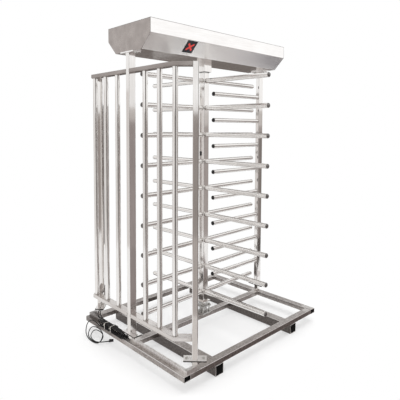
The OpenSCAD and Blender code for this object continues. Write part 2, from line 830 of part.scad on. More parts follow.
// Lock wheel with four notches, index cam with four hollows, on one hub
module index_cam() {
    color("#8d9297") difference() {
        union() {
            translate([0, 0, wheel_z - wheel_gap / 2]) cylinder(h = cam_top - wheel_z + wheel_gap, d = hub_d);
            translate([0, 0, wheel_z]) cylinder(h = wheel_t, d = wheel_d, $fn = 64);
            translate([0, 0, cam_z]) cylinder(h = 1.5 * wheel_t, d = cam_d, $fn = 64);
        }
        translate([0, 0, wheel_z - wheel_gap]) cylinder(h = cam_top, r = shaft_d / 2 + running_gap);
        for (a = [0, 90, 180, 270]) rotate([0, 0, a]) {
            translate([wheel_d / 2 - notch_depth, -notch_w / 2, wheel_z - overrun])
                cube([notch_depth + overrun, notch_w, wheel_t + 2 * overrun]);
            translate([hollow_place, 0, cam_z - overrun])
                cylinder(h = 1.5 * wheel_t + 2 * overrun, r = hollow_r);
        }
    }
}

// The arm that draws the rotor to each quarter turn
arm_bar_w = 24;
module index_arm() {
    d = [-index_x, follower_y - index_y];
    color("#5d6166") difference() {
        translate([index_x, index_y, cam_z]) {
            cylinder(h = 1.5 * wheel_t, d = index_boss_d);
            translate([d[0], d[1], 0]) cylinder(h = 1.5 * wheel_t, r = follower_r);
            rotate([0, 0, atan2(d[1], d[0])]) translate([0, -arm_bar_w / 2, 0])
                cube([norm(d), arm_bar_w, wheel_t]);
        }
        translate([index_x, index_y, cam_z - overrun])
            cylinder(h = 1.5 * wheel_t + 2 * overrun, r = index_pin_d / 2 + running_gap);
    }
}

// Torsion spring round the index arm's pin, drawn as its closed outline
spring_wire = 6;
module index_spring() {
    z = channel_top + seat_gap;
    color("#4a4d50") translate([index_x, index_y, z]) difference() {
        cylinder(h = cam_z - seat_gap - z, r = index_pin_d / 2 + 1.5 * spring_wire);
        translate([0, 0, -overrun])
            cylinder(h = cam_z - z + 2 * overrun, r = index_pin_d / 2 + spring_wire / 2);
    }
}

lever_w = 16;
slot_l = 10;
link_gap = 0.3;
module lock_pawl() {
    color("#8d9297") translate([pawl_x, pawl_y, wheel_z]) difference() {
        union() {
            translate([-lever_w / 2, -pawl_reach - nose_w / 2, 0])
                cube([lever_w, pawl_reach + pawl_tail + nose_w / 2 + slot_l, wheel_t]);
            translate([-nose_w / 2, -pawl_reach - nose_w / 2, 0])
                cube([nose_l + nose_w / 2, nose_w, wheel_t]);
            cylinder(h = wheel_t, d = post_boss_d);
        }
        translate([0, 0, -overrun]) cylinder(h = wheel_t + 2 * overrun, r = pawl_pin_d / 2 + running_gap);
        translate([-tail_pin_d / 2 - link_gap, pawl_tail - tail_pin_d / 2 - link_gap, -overrun])
            cube([tail_pin_d + 2 * link_gap, slot_l, wheel_t + 2 * overrun]);
    }
}

// Plunger with the upright pin that works in the pawl's slot
plunger_d = 14;
plunger_l = 60;
solenoid_l = 60;
solenoid_w = 40;
solenoid_gap = 28;
axle_z = wheel_z + wheel_t + plunger_d / 2 + seat_gap;
module plunger() {
    color(steel) translate([pawl_x, pawl_y + pawl_tail, 0]) {
        translate([-plunger_l - lever_w / 2, 0, axle_z]) rotate([0, 90, 0])
            cylinder(h = plunger_l + lever_w, d = plunger_d);
        translate([0, 0, wheel_z + overrun]) cylinder(h = axle_z - wheel_z, d = tail_pin_d);
    }
}

module solenoids() {
    color("#39424c") for (turn = [0, 180]) rotate([0, 0, turn])
        translate([pawl_x - lever_w / 2 - solenoid_gap - solenoid_l, pawl_y + pawl_tail, 0]) difference() {
            translate([0, -solenoid_w / 2, channel_top])
                cube([solenoid_l, solenoid_w, axle_z + solenoid_w / 2 - channel_top]);
            translate([-overrun, 0, axle_z]) rotate([0, 90, 0])
                cylinder(h = solenoid_l + 2 * overrun, r = plunger_d / 2 + running_gap);
        }
}

// Electronics
board = [180, 110, 2];
board_place = [-420, -30];
board_rise = 10;
board_leg_d = 6;
module control_board() {
    color("#2f6b45") translate([board_place[0], board_place[1], channel_top]) {
        translate([-board[0] / 2, -board[1] / 2, board_rise]) cube(board);
        for (x = [-0.45, 0.45]) for (y = [-0.42, 0.42])
            translate([x * board[0], y * board[1], 0]) cylinder(h = board_rise + board[2] / 2, d = board_leg_d);
        for (i = [0:2])
            translate([(i - 1.4) * board[0] / 4, -board[1] / 4, board_rise + board[2] / 2])
                cube([board[0] / 6, board[1] / (2 + i / 2), board_rise + i * board[2]]);
    }
}

supply = [160, 98, 42];
supply_x = 420;
module power_supply() {
    color("#9a9c9e") translate([supply_x - supply[0] / 2, -supply[1] / 2, channel_top]) cube(supply);
}

// Cables leave the back leg: one goes through a tied hank, over the base tube and round a loose coil to its plug,
// the other lies on the rail and ends in a connector

gland_l = 20;
gland_d = 15;
gland_neck_d = 11;
gland_nut_l = 7;

module cable_gland() {
    color(black) at_glands() {
        translate([0, 0, -post_wall]) cylinder(h = post_wall + overrun, r = gland_hole_r - hole_gap / 2);
        translate([0, 0, seat_gap]) cylinder(h = gland_nut_l, d = gland_d, $fn = 6);
        translate([0, 0, gland_nut_l]) cylinder(h = gland_l - gland_nut_l, d = gland_neck_d);
    }
}

function unit(v) = v / norm(v);
// Direction of a route at its point i
function heading(p, i) = i == 0 ? unit(p[1] - p[0])
    : i == len(p) - 1 ? unit(p[i] - p[i - 1])
    : unit(unit(p[i + 1] - p[i]) + unit(p[i] - p[i - 1]));
function ring(c, t, aim, r, sides) = let (s = unit(cross(t, aim)), u = cross(s, t))
    [for (k = [0:sides - 1]) c + r * (cos(360 * k / sides) * s + sin(360 * k / sides) * u)];

// A tube swept along a route, as one closed surface of triangles
module swept_tube(p, d, sides, aim) {
    n = len(p);
    walls = [for (i = [0:n - 2]) for (k = [0:sides - 1]) for (half = [0, 1])
        let (a = i * sides + k, b = i * sides + (k + 1) % sides)
        half == 0 ? [a, b + sides, b] : [a, a + sides, b + sides]];
    caps = [for (k = [1:sides - 2]) for (end = [0, 1])
        end == 0 ? [0, k, k + 1] : [n * sides - sides, n * sides - sides + k + 1, n * sides - sides + k]];
    polyhedron(points = [for (i = [0:n - 1]) each ring(p[i], heading(p, i), aim, d / 2, sides)],
        faces = concat(walls, caps));
}

// Least distance from a route's points to its later stretches, past the next few points, less the tube
function to_stretch(q, a, b) = let (f = max(0, min(1, (q - a) * (b - a) / ((b - a) * (b - a)))))
    norm(q - a - f * (b - a));
function self_gap(p, d, skip) = min([for (i = [0:len(p) - skip - 2]) for (j = [i + skip:len(p) - 2])
    to_stretch(p[i], p[j], p[j + 1])]) - d;

// The hank: upright turns side by side along the left base tube, each a long loop with round ends
tie_t = 1.2;
tie_w = 5;
hank_fold_r = 3 * cable_d;
hank_pitch = cable_d + 0.9;
hank_backs = [400, 428, 396, 436, 408, 400];
hank_fronts = [36, 66, 44, 84, 52];
hank_x = -(track_x + cable_d / 2 + tie_t + 2 * seat_gap);
hank_low = base_top + tie_t + 2 * seat_gap + cable_d / 2;
hank_steps = 24;
arc_steps = 8;
run_steps = 4;
// Place of step k of a turn in Y and Z: forward along the top, round, back along the bottom, round
function hank_turn(k) = let (
    j = k % hank_steps,
    turn = floor(k / hank_steps),
    y0 = hank_fronts[turn] + cable_d / 2 + hank_fold_r,
    y1 = hank_backs[turn + (j < run_steps + arc_steps ? 0 : 1)] - cable_d / 2 - hank_fold_r,
    mid = hank_low + hank_fold_r
) j < run_steps ? [y1 + (y0 - y1) * j / run_steps, mid + hank_fold_r]
    : j < run_steps + arc_steps ? let (a = 90 + 180 * (j - run_steps) / arc_steps)
        [y0 + hank_fold_r * cos(a), mid + hank_fold_r * sin(a)]
    : j < 2 * run_steps + arc_steps ? [y0 + (y1 - y0) * (j - run_steps - arc_steps) / run_steps, mid - hank_fold_r]
    : let (a = 270 + 180 * (j - 2 * run_steps - arc_steps) / arc_steps)
        [y1 + hank_fold_r * cos(a), mid + hank_fold_r * sin(a)];
hank_last = hank_turns * hank_steps - arc_steps;
hank_route = [for (k = [0:hank_last]) let (q = hank_turn(k)) [hank_x - hank_pitch * k / hank_steps, q[0], q[1]]];
hank_end = hank_route[hank_last];
hank_lead = [0, cable_d, 0];
hank_points = concat([hank_route[0] + hank_lead], hank_route, [hank_end + hank_lead]);

// The coil: long round turns, their feet on the floor, that fan out towards the base tube. Each turn is smaller
// than the last and leans further. Every size is given for the first turn, with its change per turn and the change
// of that change
coil_foot = [-880, 416, cable_d / 2];
coil_step = 9.5;
coil_half_l = [126, -21, 0];
coil_half_h = [78, -34, 8];
coil_leans = [15, 16, 0];
coil_steps = 24;
coil_from = 60;
coil_last = coil_turns * coil_steps + (coil_from + 90) * coil_steps / 360;
// Share of a turn's extra length that its long sides take, which keeps its ends round
long_side_share = 1.5;
function grown(q, t) = q[0] + q[1] * t + q[2] * t * t;
coil_route = [for (k = [0:coil_last]) let (
    t = k / coil_steps,
    a = coil_from - 360 * t,
    h = grown(coil_half_h, t),
    l = grown(coil_half_l, t),
    lean = grown(coil_leans, t),
    c = cos(a),
    rise = h * (1 + sin(a))
) coil_foot + [coil_step * t + rise * sin(lean),
    h * c + (l - h) * (long_side_share * c + (1 - long_side_share) * c * c * c), rise * cos(lean)]];
coil_start = coil_route[0];
coil_start_heading = unit(coil_route[1] - coil_route[0]);
coil_end = coil_route[coil_last];
coil_points = concat([coil_start - cable_d * coil_start_heading], coil_route, [coil_end - hank_lead]);
coil_aim = [cos(grown(coil_leans, 1)), 0, -sin(grown(coil_leans, 1))];

// The free stretches, each through points chosen by hand, and the places of the plug and the connector
drop_route = [
    [-724, 562.5, 162], [-733, 551.5, 160.5], [-741.5, 539.5, 158.8], [-749, 526.5, 157],
    [-755.5, 512.5, 155.5], [-761, 497.5, 154.5], [-765.5, 482, 154.2], [-769, 466, 154.8],
    [-771.8, 449.5, 156.5], [-774, 433, 159], [-775.8, 416, 162.3], [-777, 402, 165.5]
];
lead_route = [
    [-710.5, 549, 162], [-719, 538, 160.5], [-727, 526, 158.5], [-734.5, 513, 156.5],
    [-741, 499, 154.8], [-746.5, 484, 153.4], [-751, 468, 152.4], [-754.5, 451, 152],
    [-757, 434, 151.8], [-759, 417, 151.8], [-760.5, 400, 151.8], [-761.5, 380, 151.8],
    [-762, 360, 151.8], [-762, 340, 151.8], [-762, 320, 151.8], [-761.5, 300, 151.8], [-761, 282, 152.4]
];
lead_end = [-760.5, 266, 154];
link_route = [
    [-815, 402, 126.5], [-818, 415, 131], [-822.5, 428, 138], [-828, 440, 145], [-833, 452, 150], [-838, 466, 152.5]
];
floor_route = [
    [-856, 391, 3.5], [-852, 378, 3.5], [-845, 366, 3.5], [-835.5, 355.5, 3.5], [-824, 346.5, 3.5],
    [-811.5, 338.5, 3.5], [-798.5, 331, 3.5]
];
plug_place = [-785.5, 323.5, 3.5];
gland_mouths = [for (s = [-1, 1]) [-end_post_x, end_post_y, gland_z]
    + (leg_size / 2 + gland_l) * [-cos(45), -cos(45), 0] + s * gland_side * [-cos(45), cos(45), 0]];
gland_outs = [for (m = gland_mouths) m - 2 * cable_d * [cos(45), cos(45), 0]];
hank_start = hank_points[0];
plug_heading = unit(plug_place - floor_route[len(floor_route) - 1]);
lead_heading = unit(lead_end - lead_route[len(lead_route) - 1]);

run_sides = 8;
module cable_runs() {
    color(black) {
        swept_tube(concat([gland_mouths[1], gland_outs[1]], drop_route, [hank_start + hank_lead, hank_start]),
            cable_d, run_sides, [0, 0, 1]);
        swept_tube(concat([gland_mouths[0], gland_outs[0]], lead_route, [lead_end]), cable_d, run_sides, [0, 0, 1]);
        swept_tube(concat([hank_end + hank_lead, hank_end + 2 * hank_lead], link_route,
            [coil_points[0] - cable_d * coil_start_heading, coil_points[0]]), cable_d, run_sides, [0, 0, 1]);
        swept_tube(concat([coil_end - hank_lead, coil_end - 2 * hank_lead], floor_route, [plug_place]),
            cable_d, run_sides, [0, 0, 1]);
    }
}

form_sides = 6;
module cable_hank() {
    color(black) swept_tube(hank_points, cable_d, form_sides, [1, 0, 0]);
}

module cable_coil() {
    color(black) swept_tube(coil_points, cable_d, form_sides, coil_aim);
}
echo("least gap of the hank to itself", self_gap(hank_points, cable_d, 6));
echo("least gap of the coil to itself", self_gap(coil_points, cable_d, 6));

plug_l = 36;
plug_body_w = 24;
plug_body_h = 16;
relief_l = 14;
connector_l = 46;
connector_d = 15;
module cable_plug() {
    color(black) translate([plug_place[0], plug_place[1], 0])
        rotate([0, 0, atan2(plug_heading[1], plug_heading[0])]) {
            translate([0, 0, cable_d / 2 + seat_gap]) rotate([0, 90, 0])
                cylinder(h = relief_l + overrun, d = cable_d);
            translate([relief_l, -plug_body_w / 2, 0]) cube([plug_l, plug_body_w, plug_body_h]);
        }
    color(black) translate(lead_end) rotate([0, 0, atan2(lead_heading[1], lead_heading[0])])
        rotate([0, 90, 0]) {
            cylinder(h = relief_l + overrun, d = cable_d);
            translate([(track_top + connector_d / 2 - lead_end[2]) * -1 - seat_gap, 0, relief_l])
                cylinder(h = connector_l, d = connector_d);
        }
}

// Two ties round the hank
tie_places = [312, 225];
module cable_ties() {
    x1 = hank_x + cable_d / 2 + tie_t + seat_gap / 2;
    x0 = hank_end[0] - cable_d / 2 - tie_t - seat_gap;
    z0 = base_top + seat_gap / 2;
    z1 = hank_low + 2 * hank_fold_r + cable_d / 2 + tie_t + seat_gap;
    color("#e8e6e0") for (y = tie_places)
        translate([(x0 + x1) / 2, y, (z0 + z1) / 2]) rotate([90, 0, 0])
            square_tube(x1 - x0, z1 - z0, tie_w, tie_t);
}

skid(-1);  // skid_left
skid(1);  // skid_right
long_base_tube(-1);  // base_tube_left
long_base_tube(1);  // base_tube_right
cross_base_tube(-cross_tube_y);  // base_tube_front
cross_base_tube(0);  // base_tube_middle
cross_base_tube(cross_tube_y);  // base_tube_back
fence_track();
end_plugs();
foot_legs();
foot_plates();
frame_bolts();
main_post(-1);  // main_post_left
main_post(1);  // main_post_right
fence_post(-1);  // fence_post_front
fence_post(1);  // fence_post_back
fence_rails(rail_top_z);  // fence_rails_top
fence_rails(rail_bottom_z);  // fence_rails_bottom
fence_bars(-1);  // fence_bars_front
fence_bars(1);  // fence_bars_back
comb_arms();
comb_caps();
canopy_tray();
canopy_end(-1);  // canopy_end_left
canopy_end(1);  // canopy_end_right
canopy_lid();
lid_fittings();
lid_lock();
top_plates();
top_sleeve();
indicator_housings();
indicator_lenses();
rotor_column();
wing(180);  // wing_left
wing(0);  // wing_right
wing(270);  // wing_front
wing(90);  // wing_back
arm_caps();
column_plug();
rotor_foot();
rotor_shaft();
pivot_bearing();
head_channel();
top_bearing();
index_cam();
index_arm();
index_spring();
lock_pawl();  // pawl_in
rotate([0, 0, 180]) lock_pawl();  // pawl_out
solenoids();
plunger();  // plunger_in
rotate([0, 0, 180]) plunger();  // plunger_out
control_board();
power_supply();
cable_gland();
cable_runs();
cable_hank();
cable_coil();
cable_plug();
cable_ties();
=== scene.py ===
from math import atan2, cos, pi, radians, sin, sqrt

import bmesh
import bpy
from mathutils import Matrix, Vector


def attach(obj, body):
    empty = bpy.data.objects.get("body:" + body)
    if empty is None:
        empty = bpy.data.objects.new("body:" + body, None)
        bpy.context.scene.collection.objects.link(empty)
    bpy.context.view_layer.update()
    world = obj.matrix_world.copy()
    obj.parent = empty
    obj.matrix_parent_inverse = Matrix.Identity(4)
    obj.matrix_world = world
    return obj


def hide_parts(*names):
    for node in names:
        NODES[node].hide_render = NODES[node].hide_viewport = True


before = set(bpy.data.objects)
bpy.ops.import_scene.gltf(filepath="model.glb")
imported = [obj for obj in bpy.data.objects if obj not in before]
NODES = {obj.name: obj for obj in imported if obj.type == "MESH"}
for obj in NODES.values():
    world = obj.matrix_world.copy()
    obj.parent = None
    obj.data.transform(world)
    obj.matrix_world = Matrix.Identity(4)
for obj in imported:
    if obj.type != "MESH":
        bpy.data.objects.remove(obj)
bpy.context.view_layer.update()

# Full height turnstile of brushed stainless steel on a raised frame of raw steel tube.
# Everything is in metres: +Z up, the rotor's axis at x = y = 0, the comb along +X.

MM = 0.001

# Sizes that the dressed pieces share with the solids
BASE_TOP = 0.120
TUBE_HALF = 0.030
JOINT_X, CROSS_TUBE_Y, FRAME_END = 0.74, (-0.61, 0, 0.61), 0.62
POST_X = 0.766
POST_DEPTH, POST_WIDTH = 0.060, 0.040
RAIL_HEIGHT = 0.030
RAIL_LEVELS = {"fence_rails_bottom": 0.318, "fence_rails_top": 2.166}
FENCE_CORNER, FENCE_RETURN = 0.508, 0.097
BAR_PLACES = [0.508, 0.343, 0.178]
ARM_RADIUS = 0.019
ARM_PITCH = 0.232
ARM_LEVELS = [2.167 - ARM_PITCH * level for level in range(9)]
COMB_LEVELS = [2.064 - ARM_PITCH * level for level in range(8)]
REST_TURN = radians(1.66)
CANOPY_BOTTOM, SLOPE_RUN, SLOPE_RISE = 2.322, 0.102, 0.101
CABLE = 0.007


# Camera

def set_camera(place, heading, dip, roll, lens, shift_y):
    """Puts the camera at a place, looking along a heading, dipped below the horizon and rolled to its right."""
    ahead = Vector((heading[0], heading[1], 0)).normalized()
    right = Vector((ahead.y, -ahead.x, 0))
    forward = ahead * cos(dip) - Vector((0, 0, sin(dip)))
    side = right * cos(roll) + right.cross(forward) * sin(roll)
    top = side.cross(forward)
    data = bpy.data.cameras.new("camera")
    data.lens, data.sensor_width, data.shift_y = lens, 36, shift_y
    camera = bpy.data.objects.new("camera", data)
    camera.matrix_world = Matrix.Translation(place) @ Matrix((side, top, -forward)).transposed().to_4x4()
    bpy.context.scene.collection.objects.link(camera)
    bpy.context.scene.camera = camera


set_camera(place=(-2.6222, -2.6721, 1.7602), heading=(0.6939, 0.7201), dip=0.0592, roll=0.0045,
           lens=38.578, shift_y=-0.1162)


# Materials

def colour(hex_code):
    """A colour written as sRGB hex, turned to linear."""
    parts = [int(hex_code[i:i + 2], 16) / 255 for i in (1, 3, 5)]
    return [c / 12.92 if c <= 0.04045 else ((c + 0.055) / 1.055) ** 2.4 for c in parts] + [1.0]


def add(tree, kind, inputs=(), **settings):
    """Adds one node with its settings, and sets or links its inputs, which stand in order in a list, or by name or
    number in a dict. A node there stands for the output that it has in use, and a hex code for its colour."""
    node = tree.nodes.new("ShaderNode" + kind)
    for name, value in settings.items():
        setattr(node, name, value)
    for name, value in inputs.items() if isinstance(inputs, dict) else enumerate(inputs):
        if isinstance(value, bpy.types.Node):
            value = next(out for out in value.outputs if out.enabled)
        if isinstance(value, bpy.types.NodeSocket):
            tree.links.new(value, node.inputs[name])
        else:
            node.inputs[name].default_value = colour(value) if isinstance(value, str) else value
    return node


def new_material(name):
    material = bpy.data.materials.new(name)
    material.use_nodes = True
    material.node_tree.nodes.clear()
    return material, material.node_tree


def in_mm(tree, size, along=None, axis=None):
    """Object coordinates in which the patches of a pattern of scale 1 are as wide as a size in mm, and as long as
    another along an axis, where one is given."""
    scale = [1000 / size] * 3
    if axis is not None:
        scale[axis] = 1000 / along
    return add(tree, "Mapping", {"Vector": add(tree, "TexCoord").outputs["Object"], "Scale": scale})


def brushed_stainless(name, light, dark, axis, rough):
    """Stainless tube, belt brushed along its length: fine lines along one axis, with soft clouds where hands and
    cloths have touched it. The real lines are about 0.1 mm apart; they are drawn 2.5 mm apart to show at all."""
    material, tree = new_material(name)
    lines = add(tree, "TexNoise", {"Vector": in_mm(tree, 2.5, 180, axis), "Scale": 1, "Detail": 3, "Roughness": 0.6})
    clouds = add(tree, "TexNoise", {"Vector": in_mm(tree, 90, 320, axis), "Scale": 1, "Detail": 4, "Roughness": 0.55})
    both = add(tree, "Math", [lines, clouds], operation="ADD")
    tone = add(tree, "Mix", {0: add(tree, "MapRange", [both, 0.75, 1.3, 0, 1]), 6: dark, 7: light}, data_type="RGBA")
    add(tree, "OutputMaterial", [add(tree, "BsdfPrincipled", {
        "Base Color": tone, "Metallic": 1, "Roughness": add(tree, "MapRange", [both, 0.75, 1.3, rough[1], rough[0]]),
        "Normal": add(tree, "Bump", {"Height": lines, "Strength": 0.003, "Distance": 0.0004})})])
    return material


# Raw steel: where its cross tubes meet the long ones, with the four corners of the frame folded into one, the painted
# highlight on its rolled corners, the tone of its sawn ends, and the darker tone where the cables lie
JOINTS = [(0.745, y, BASE_TOP) for y in (0.0, 0.61)]
CORNER_PAINTED_HIGHLIGHT, SAWN_END, DARKER_WHERE_CABLES_LIE = "#f8f6f5", "#e6e2df", "#5f5855"


def raw_steel(name, top, side, ground):
    """Unpolished steel tube: a mottled mill skin, with painted shade on the sides towards the walkway and painted light
    on top and on the frame's outer sides, a painted highlight along its rolled corners, bright sawn ends and ground
    joints, and darker where the cables lie. top and side are each a light and a dark tone, for lit and shaded faces."""
    material, tree = new_material(name)
    seat = add(tree, "TexCoord")
    folded = add(tree, "VectorMath", [seat.outputs["Object"]], operation="ABSOLUTE")
    x, y, _ = add(tree, "SeparateXYZ", [seat.outputs["Object"]]).outputs
    out_x, out_y, height = add(tree, "SeparateXYZ", [folded]).outputs
    facing_x, _, upward = add(tree, "SeparateXYZ", [seat.outputs["Normal"]]).outputs
    mottle = add(tree, "TexNoise", {"Vector": in_mm(tree, 14), "Scale": 1, "Detail": 6, "Roughness": 0.65})
    sweep = add(tree, "TexNoise", {"Vector": in_mm(tree, 120), "Scale": 1, "Detail": 3})
    grit = add(tree, "TexNoise", {"Vector": in_mm(tree, 3), "Scale": 1, "Detail": 2})

    spots = add(tree, "MapRange", [mottle, 0.38, 0.64, 0, 1])
    # Painted light and shade: faces that look up, and in part the frame's outer sides, take the lighter top tones as
    # painted light, and the other sides take the darker side tones as painted shade; rubbed here marks this painted
    # light, not wear
    faces_up = add(tree, "MapRange", [upward, 0.3, 0.8, 0, 1])
    sideways = add(tree, "MapRange", [add(tree, "Math", [facing_x], operation="ABSOLUTE"), 0.5, 0.8, 0, 0.45])
    outermost = add(tree, "MapRange", [out_x, 0.70, 0.72, 0, 1])
    faces_out = add(tree, "Math", [sideways, outermost], operation="MULTIPLY")
    rubbed = add(tree, "Math", [faces_up, faces_out], operation="MAXIMUM")
    shaded_side_skin = add(tree, "Mix", {0: spots, 6: side[1], 7: side[0]}, data_type="RGBA")
    lit_top_skin = add(tree, "Mix", {0: spots, 6: top[1], 7: top[0]}, data_type="RGBA")
    skin = add(tree, "Mix", {0: rubbed, 6: shaded_side_skin, 7: lit_top_skin}, data_type="RGBA")

    # Painted highlight: a near white line along the rolled corners, between the faces that look up and those to the
    # side
    corner_highlight = add(tree, "Math", [add(tree, "MapRange", [upward, 0.25, 0.5, 0, 1]),
                                add(tree, "MapRange", [upward, 0.8, 0.97, 1, 0])], operation="MULTIPLY")
    skin = add(tree, "Mix", {0: corner_highlight, 6: skin, 7: CORNER_PAINTED_HIGHLIGHT}, data_type="RGBA")

    near = add(tree, "Math", [add(tree, "VectorMath", [folded, joint], operation="DISTANCE") for joint in JOINTS],
               operation="MINIMUM")
    uneven = add(tree, "Math", [near, add(tree, "MapRange", [sweep, 0.3, 0.7, -0.03, 0.03])], operation="ADD")
    worked = add(tree, "Math", [add(tree, "MapRange", [uneven, 0.05, 0.09, 0.8, 0]),
                                add(tree, "MapRange", [faces_up, 0, 1, 0.35, 1])], operation="MULTIPLY")
    skin = add(tree, "Mix", {0: worked, 6: skin, 7: ground}, data_type="RGBA")

    # Only the long tubes, which lie further out than the cross ones, and the low skids show their sawn ends
    long_or_low = add(tree, "Math", [add(tree, "MapRange", [out_x, 0.7405, 0.7415, 0, 1]),
                                     add(tree, "MapRange", [height, 0.0785, 0.0790, 1, 0])], operation="MAXIMUM")
    sawn = add(tree, "Math", [add(tree, "MapRange", [out_y, 0.6392, 0.6396, 0, 1]), long_or_low], operation="MULTIPLY")
    skin = add(tree, "Mix", {0: sawn, 6: skin, 7: SAWN_END}, data_type="RGBA")

    # Darker on the left tube towards its back end, where the cables lie
    where_cables_lie = add(tree, "Math", [add(tree, "MapRange", [y, 0.25, 0.50, 0, 0.7]),
                                add(tree, "MapRange", [x, -0.70, -0.72, 0, 1])], operation="MULTIPLY")
    skin = add(tree, "Mix", {0: where_cables_lie, 6: skin, 7: DARKER_WHERE_CABLES_LIE}, data_type="RGBA")
    add(tree, "OutputMaterial", [add(tree, "BsdfPrincipled", {
        "Base Color": skin, "Metallic": 1, "Roughness": add(tree, "MapRange", [sweep, 0.3, 0.7, 0.28, 0.42]),
        "Normal": add(tree, "Bump", {"Height": grit, "Strength": 0.12, "Distance": 0.0005})})])
    return material


def sheet_with_painted_edge_shade(name, light, dark, edge, axis):
    """Satin sheet with a line of painted shade on its edges: pale clouds on the flat, which faces along one axis, and
    one dark tone painted on the narrow edges all round it."""
    material, tree = new_material(name)
    facing = add(tree, "SeparateXYZ", [add(tree, "TexCoord").outputs["Normal"]]).outputs[axis]
    flat = add(tree, "MapRange", [add(tree, "Math", [facing], operation="ABSOLUTE"), 0.3, 0.7, 0, 1])
    clouds = add(tree, "TexNoise", {"Vector": in_mm(tree, 70), "Scale": 1, "Detail": 5, "Roughness": 0.6})
    satin = add(tree, "Mix", {0: add(tree, "MapRange", [clouds, 0.35, 0.65, 0, 1]), 6: dark, 7: light},
                data_type="RGBA")
    add(tree, "OutputMaterial", [add(tree, "BsdfPrincipled", {
        "Base Color": add(tree, "Mix", {0: flat, 6: edge, 7: satin}, data_type="RGBA"), "Metallic": 1,
        "Roughness": add(tree, "MapRange", [clouds, 0.3, 0.7, 0.34, 0.24])})])
    return material


def plain_metal(name, light, dark, size, rough, metallic=1.0):
    """Plated, cast or machined metal: one tone with a fine uneven surface, its patches as wide as size in mm."""
    material, tree = new_material(name)
    patches = add(tree, "TexNoise", {"Vector": in_mm(tree, size), "Scale": 1, "Detail": 4})
    tone = add(tree, "Mix", {0: add(tree, "MapRange", [patches, 0.35, 0.65, 0, 1]), 6: dark, 7: light},
               data_type="RGBA")
    add(tree, "OutputMaterial", [add(tree, "BsdfPrincipled", {
        "Base Color": tone, "Metallic": metallic,
        "Roughness": add(tree, "MapRange", [patches, 0.3, 0.7, rough[1], rough[0]]),
        "Normal": add(tree, "Bump", {"Height": patches, "Strength": 0.15, "Distance": 0.0003})})])
    return material


def moulded_plastic(name, tone, worn, grain, rough, coat=0.0, gloss=0.5):
    """Moulded plastic or rubber: a fine pebbled skin, its grain in mm, slightly paler where it is rubbed."""
    material, tree = new_material(name)
    pebble = add(tree, "TexNoise", {"Vector": in_mm(tree, grain), "Scale": 1, "Detail": 3})
    rubbed = add(tree, "TexNoise", {"Vector": in_mm(tree, 25), "Scale": 1, "Detail": 3})
    skin = add(tree, "Mix", {0: add(tree, "MapRange", [rubbed, 0.45, 0.75, 0, 1]), 6: tone, 7: worn},
               data_type="RGBA")
    add(tree, "OutputMaterial", [add(tree, "BsdfPrincipled", {
        "Base Color": skin, "Roughness": add(tree, "MapRange", [rubbed, 0.35, 0.7, rough[0], rough[1]]), "IOR": 1.5,
        "Specular IOR Level": gloss, "Coat Weight": coat,
        "Normal": add(tree, "Bump", {"Height": pebble, "Strength": 0.25, "Distance": 0.0003})})])
    return material


def lit_cross(name):
    """Red light behind a diffusing cover: bright in the middle of each stroke, a little uneven from its lamps."""
    material, tree = new_material(name)
    rows = add(tree, "TexVoronoi", {"Vector": in_mm(tree, 4.5), "Scale": 1})
    glow = add(tree, "Mix", {0: add(tree, "MapRange", [rows, 0.1, 0.7, 1, 0]), 6: "#a8241f", 7: "#e9483c"},
               data_type="RGBA")
    add(tree, "OutputMaterial", [add(tree, "BsdfPrincipled", {
        "Base Color": glow, "Emission Color": glow, "Emission Strength": 0.45, "Roughness": 0.35})])
    return material


def dark_glass(name):
    """Smoked acrylic over the lamps: near black, a little bluer in soft patches, with a clear gloss."""
    material, tree = new_material(name)
    haze = add(tree, "TexNoise", {"Vector": in_mm(tree, 30), "Scale": 1, "Detail": 2})
    tone = add(tree, "Mix", {0: add(tree, "MapRange", [haze, 0.4, 0.7, 0, 1]), 6: "#0b0b12", 7: "#141a30"},
               data_type="RGBA")
    add(tree, "OutputMaterial", [add(tree, "BsdfPrincipled", {
        "Base Color": tone, "Roughness": add(tree, "MapRange", [haze, 0.3, 0.7, 0.10, 0.20]), "IOR": 1.49})])
    return material


X, Y, Z = 0, 1, 2

# Upright tubes are the brightest polish, those along the canopy and across it are duller, and each rail has its own,
# the top rail's much darker tone being painted shade
STAINLESS_UP = brushed_stainless("stainless_brushed_upright", "#f2f0ee", "#dfdbd8", Z, (0.07, 0.11))
STAINLESS_X = brushed_stainless("stainless_brushed_along_canopy", "#f2f0ee", "#e6e3e0", X, (0.10, 0.14))
STAINLESS_Y = brushed_stainless("stainless_brushed_across", "#f2f0ee", "#e8e5e2", Y, (0.13, 0.17))
PLATE = brushed_stainless("laser_cut_plate", "#fbfaf9", "#eeebe9", X, (0.30, 0.42))
# The top rail is the same stainless painted darker: its tone is painted shade
TOP_RAIL = brushed_stainless("stainless_rail_painted_shade", "#aaa29e", "#8d8581", Y, (0.14, 0.26))
BOTTOM_RAIL = brushed_stainless("stainless_satin_rail", "#dfdbd8", "#c8c3c0", Y, (0.16, 0.26))
CANOPY_SHEET = brushed_stainless("canopy_satin_sheet", "#faf9f8", "#efecea", X, (0.14, 0.24))

# Sheet with a dark line of painted shade along its edges, and the lid's is the palest
# The end plates are the canopy's sheet painted much darker: their tone is a painted reflection of a dim surround
CANOPY_END = sheet_with_painted_edge_shade("canopy_end_sheet_painted_dark_reflection", "#ada5a1", "#a09894", "#3f3b39", X)
FOOT_SHEET = sheet_with_painted_edge_shade("foot_plate_with_painted_edge_shade", "#fbfaf9", "#eeebe9", "#4a4542", Z)
LID_SHEET = sheet_with_painted_edge_shade("lid_sheet_with_painted_edge_shade", "#e2dfdc", "#dbd8d5", "#6f6966", Z)

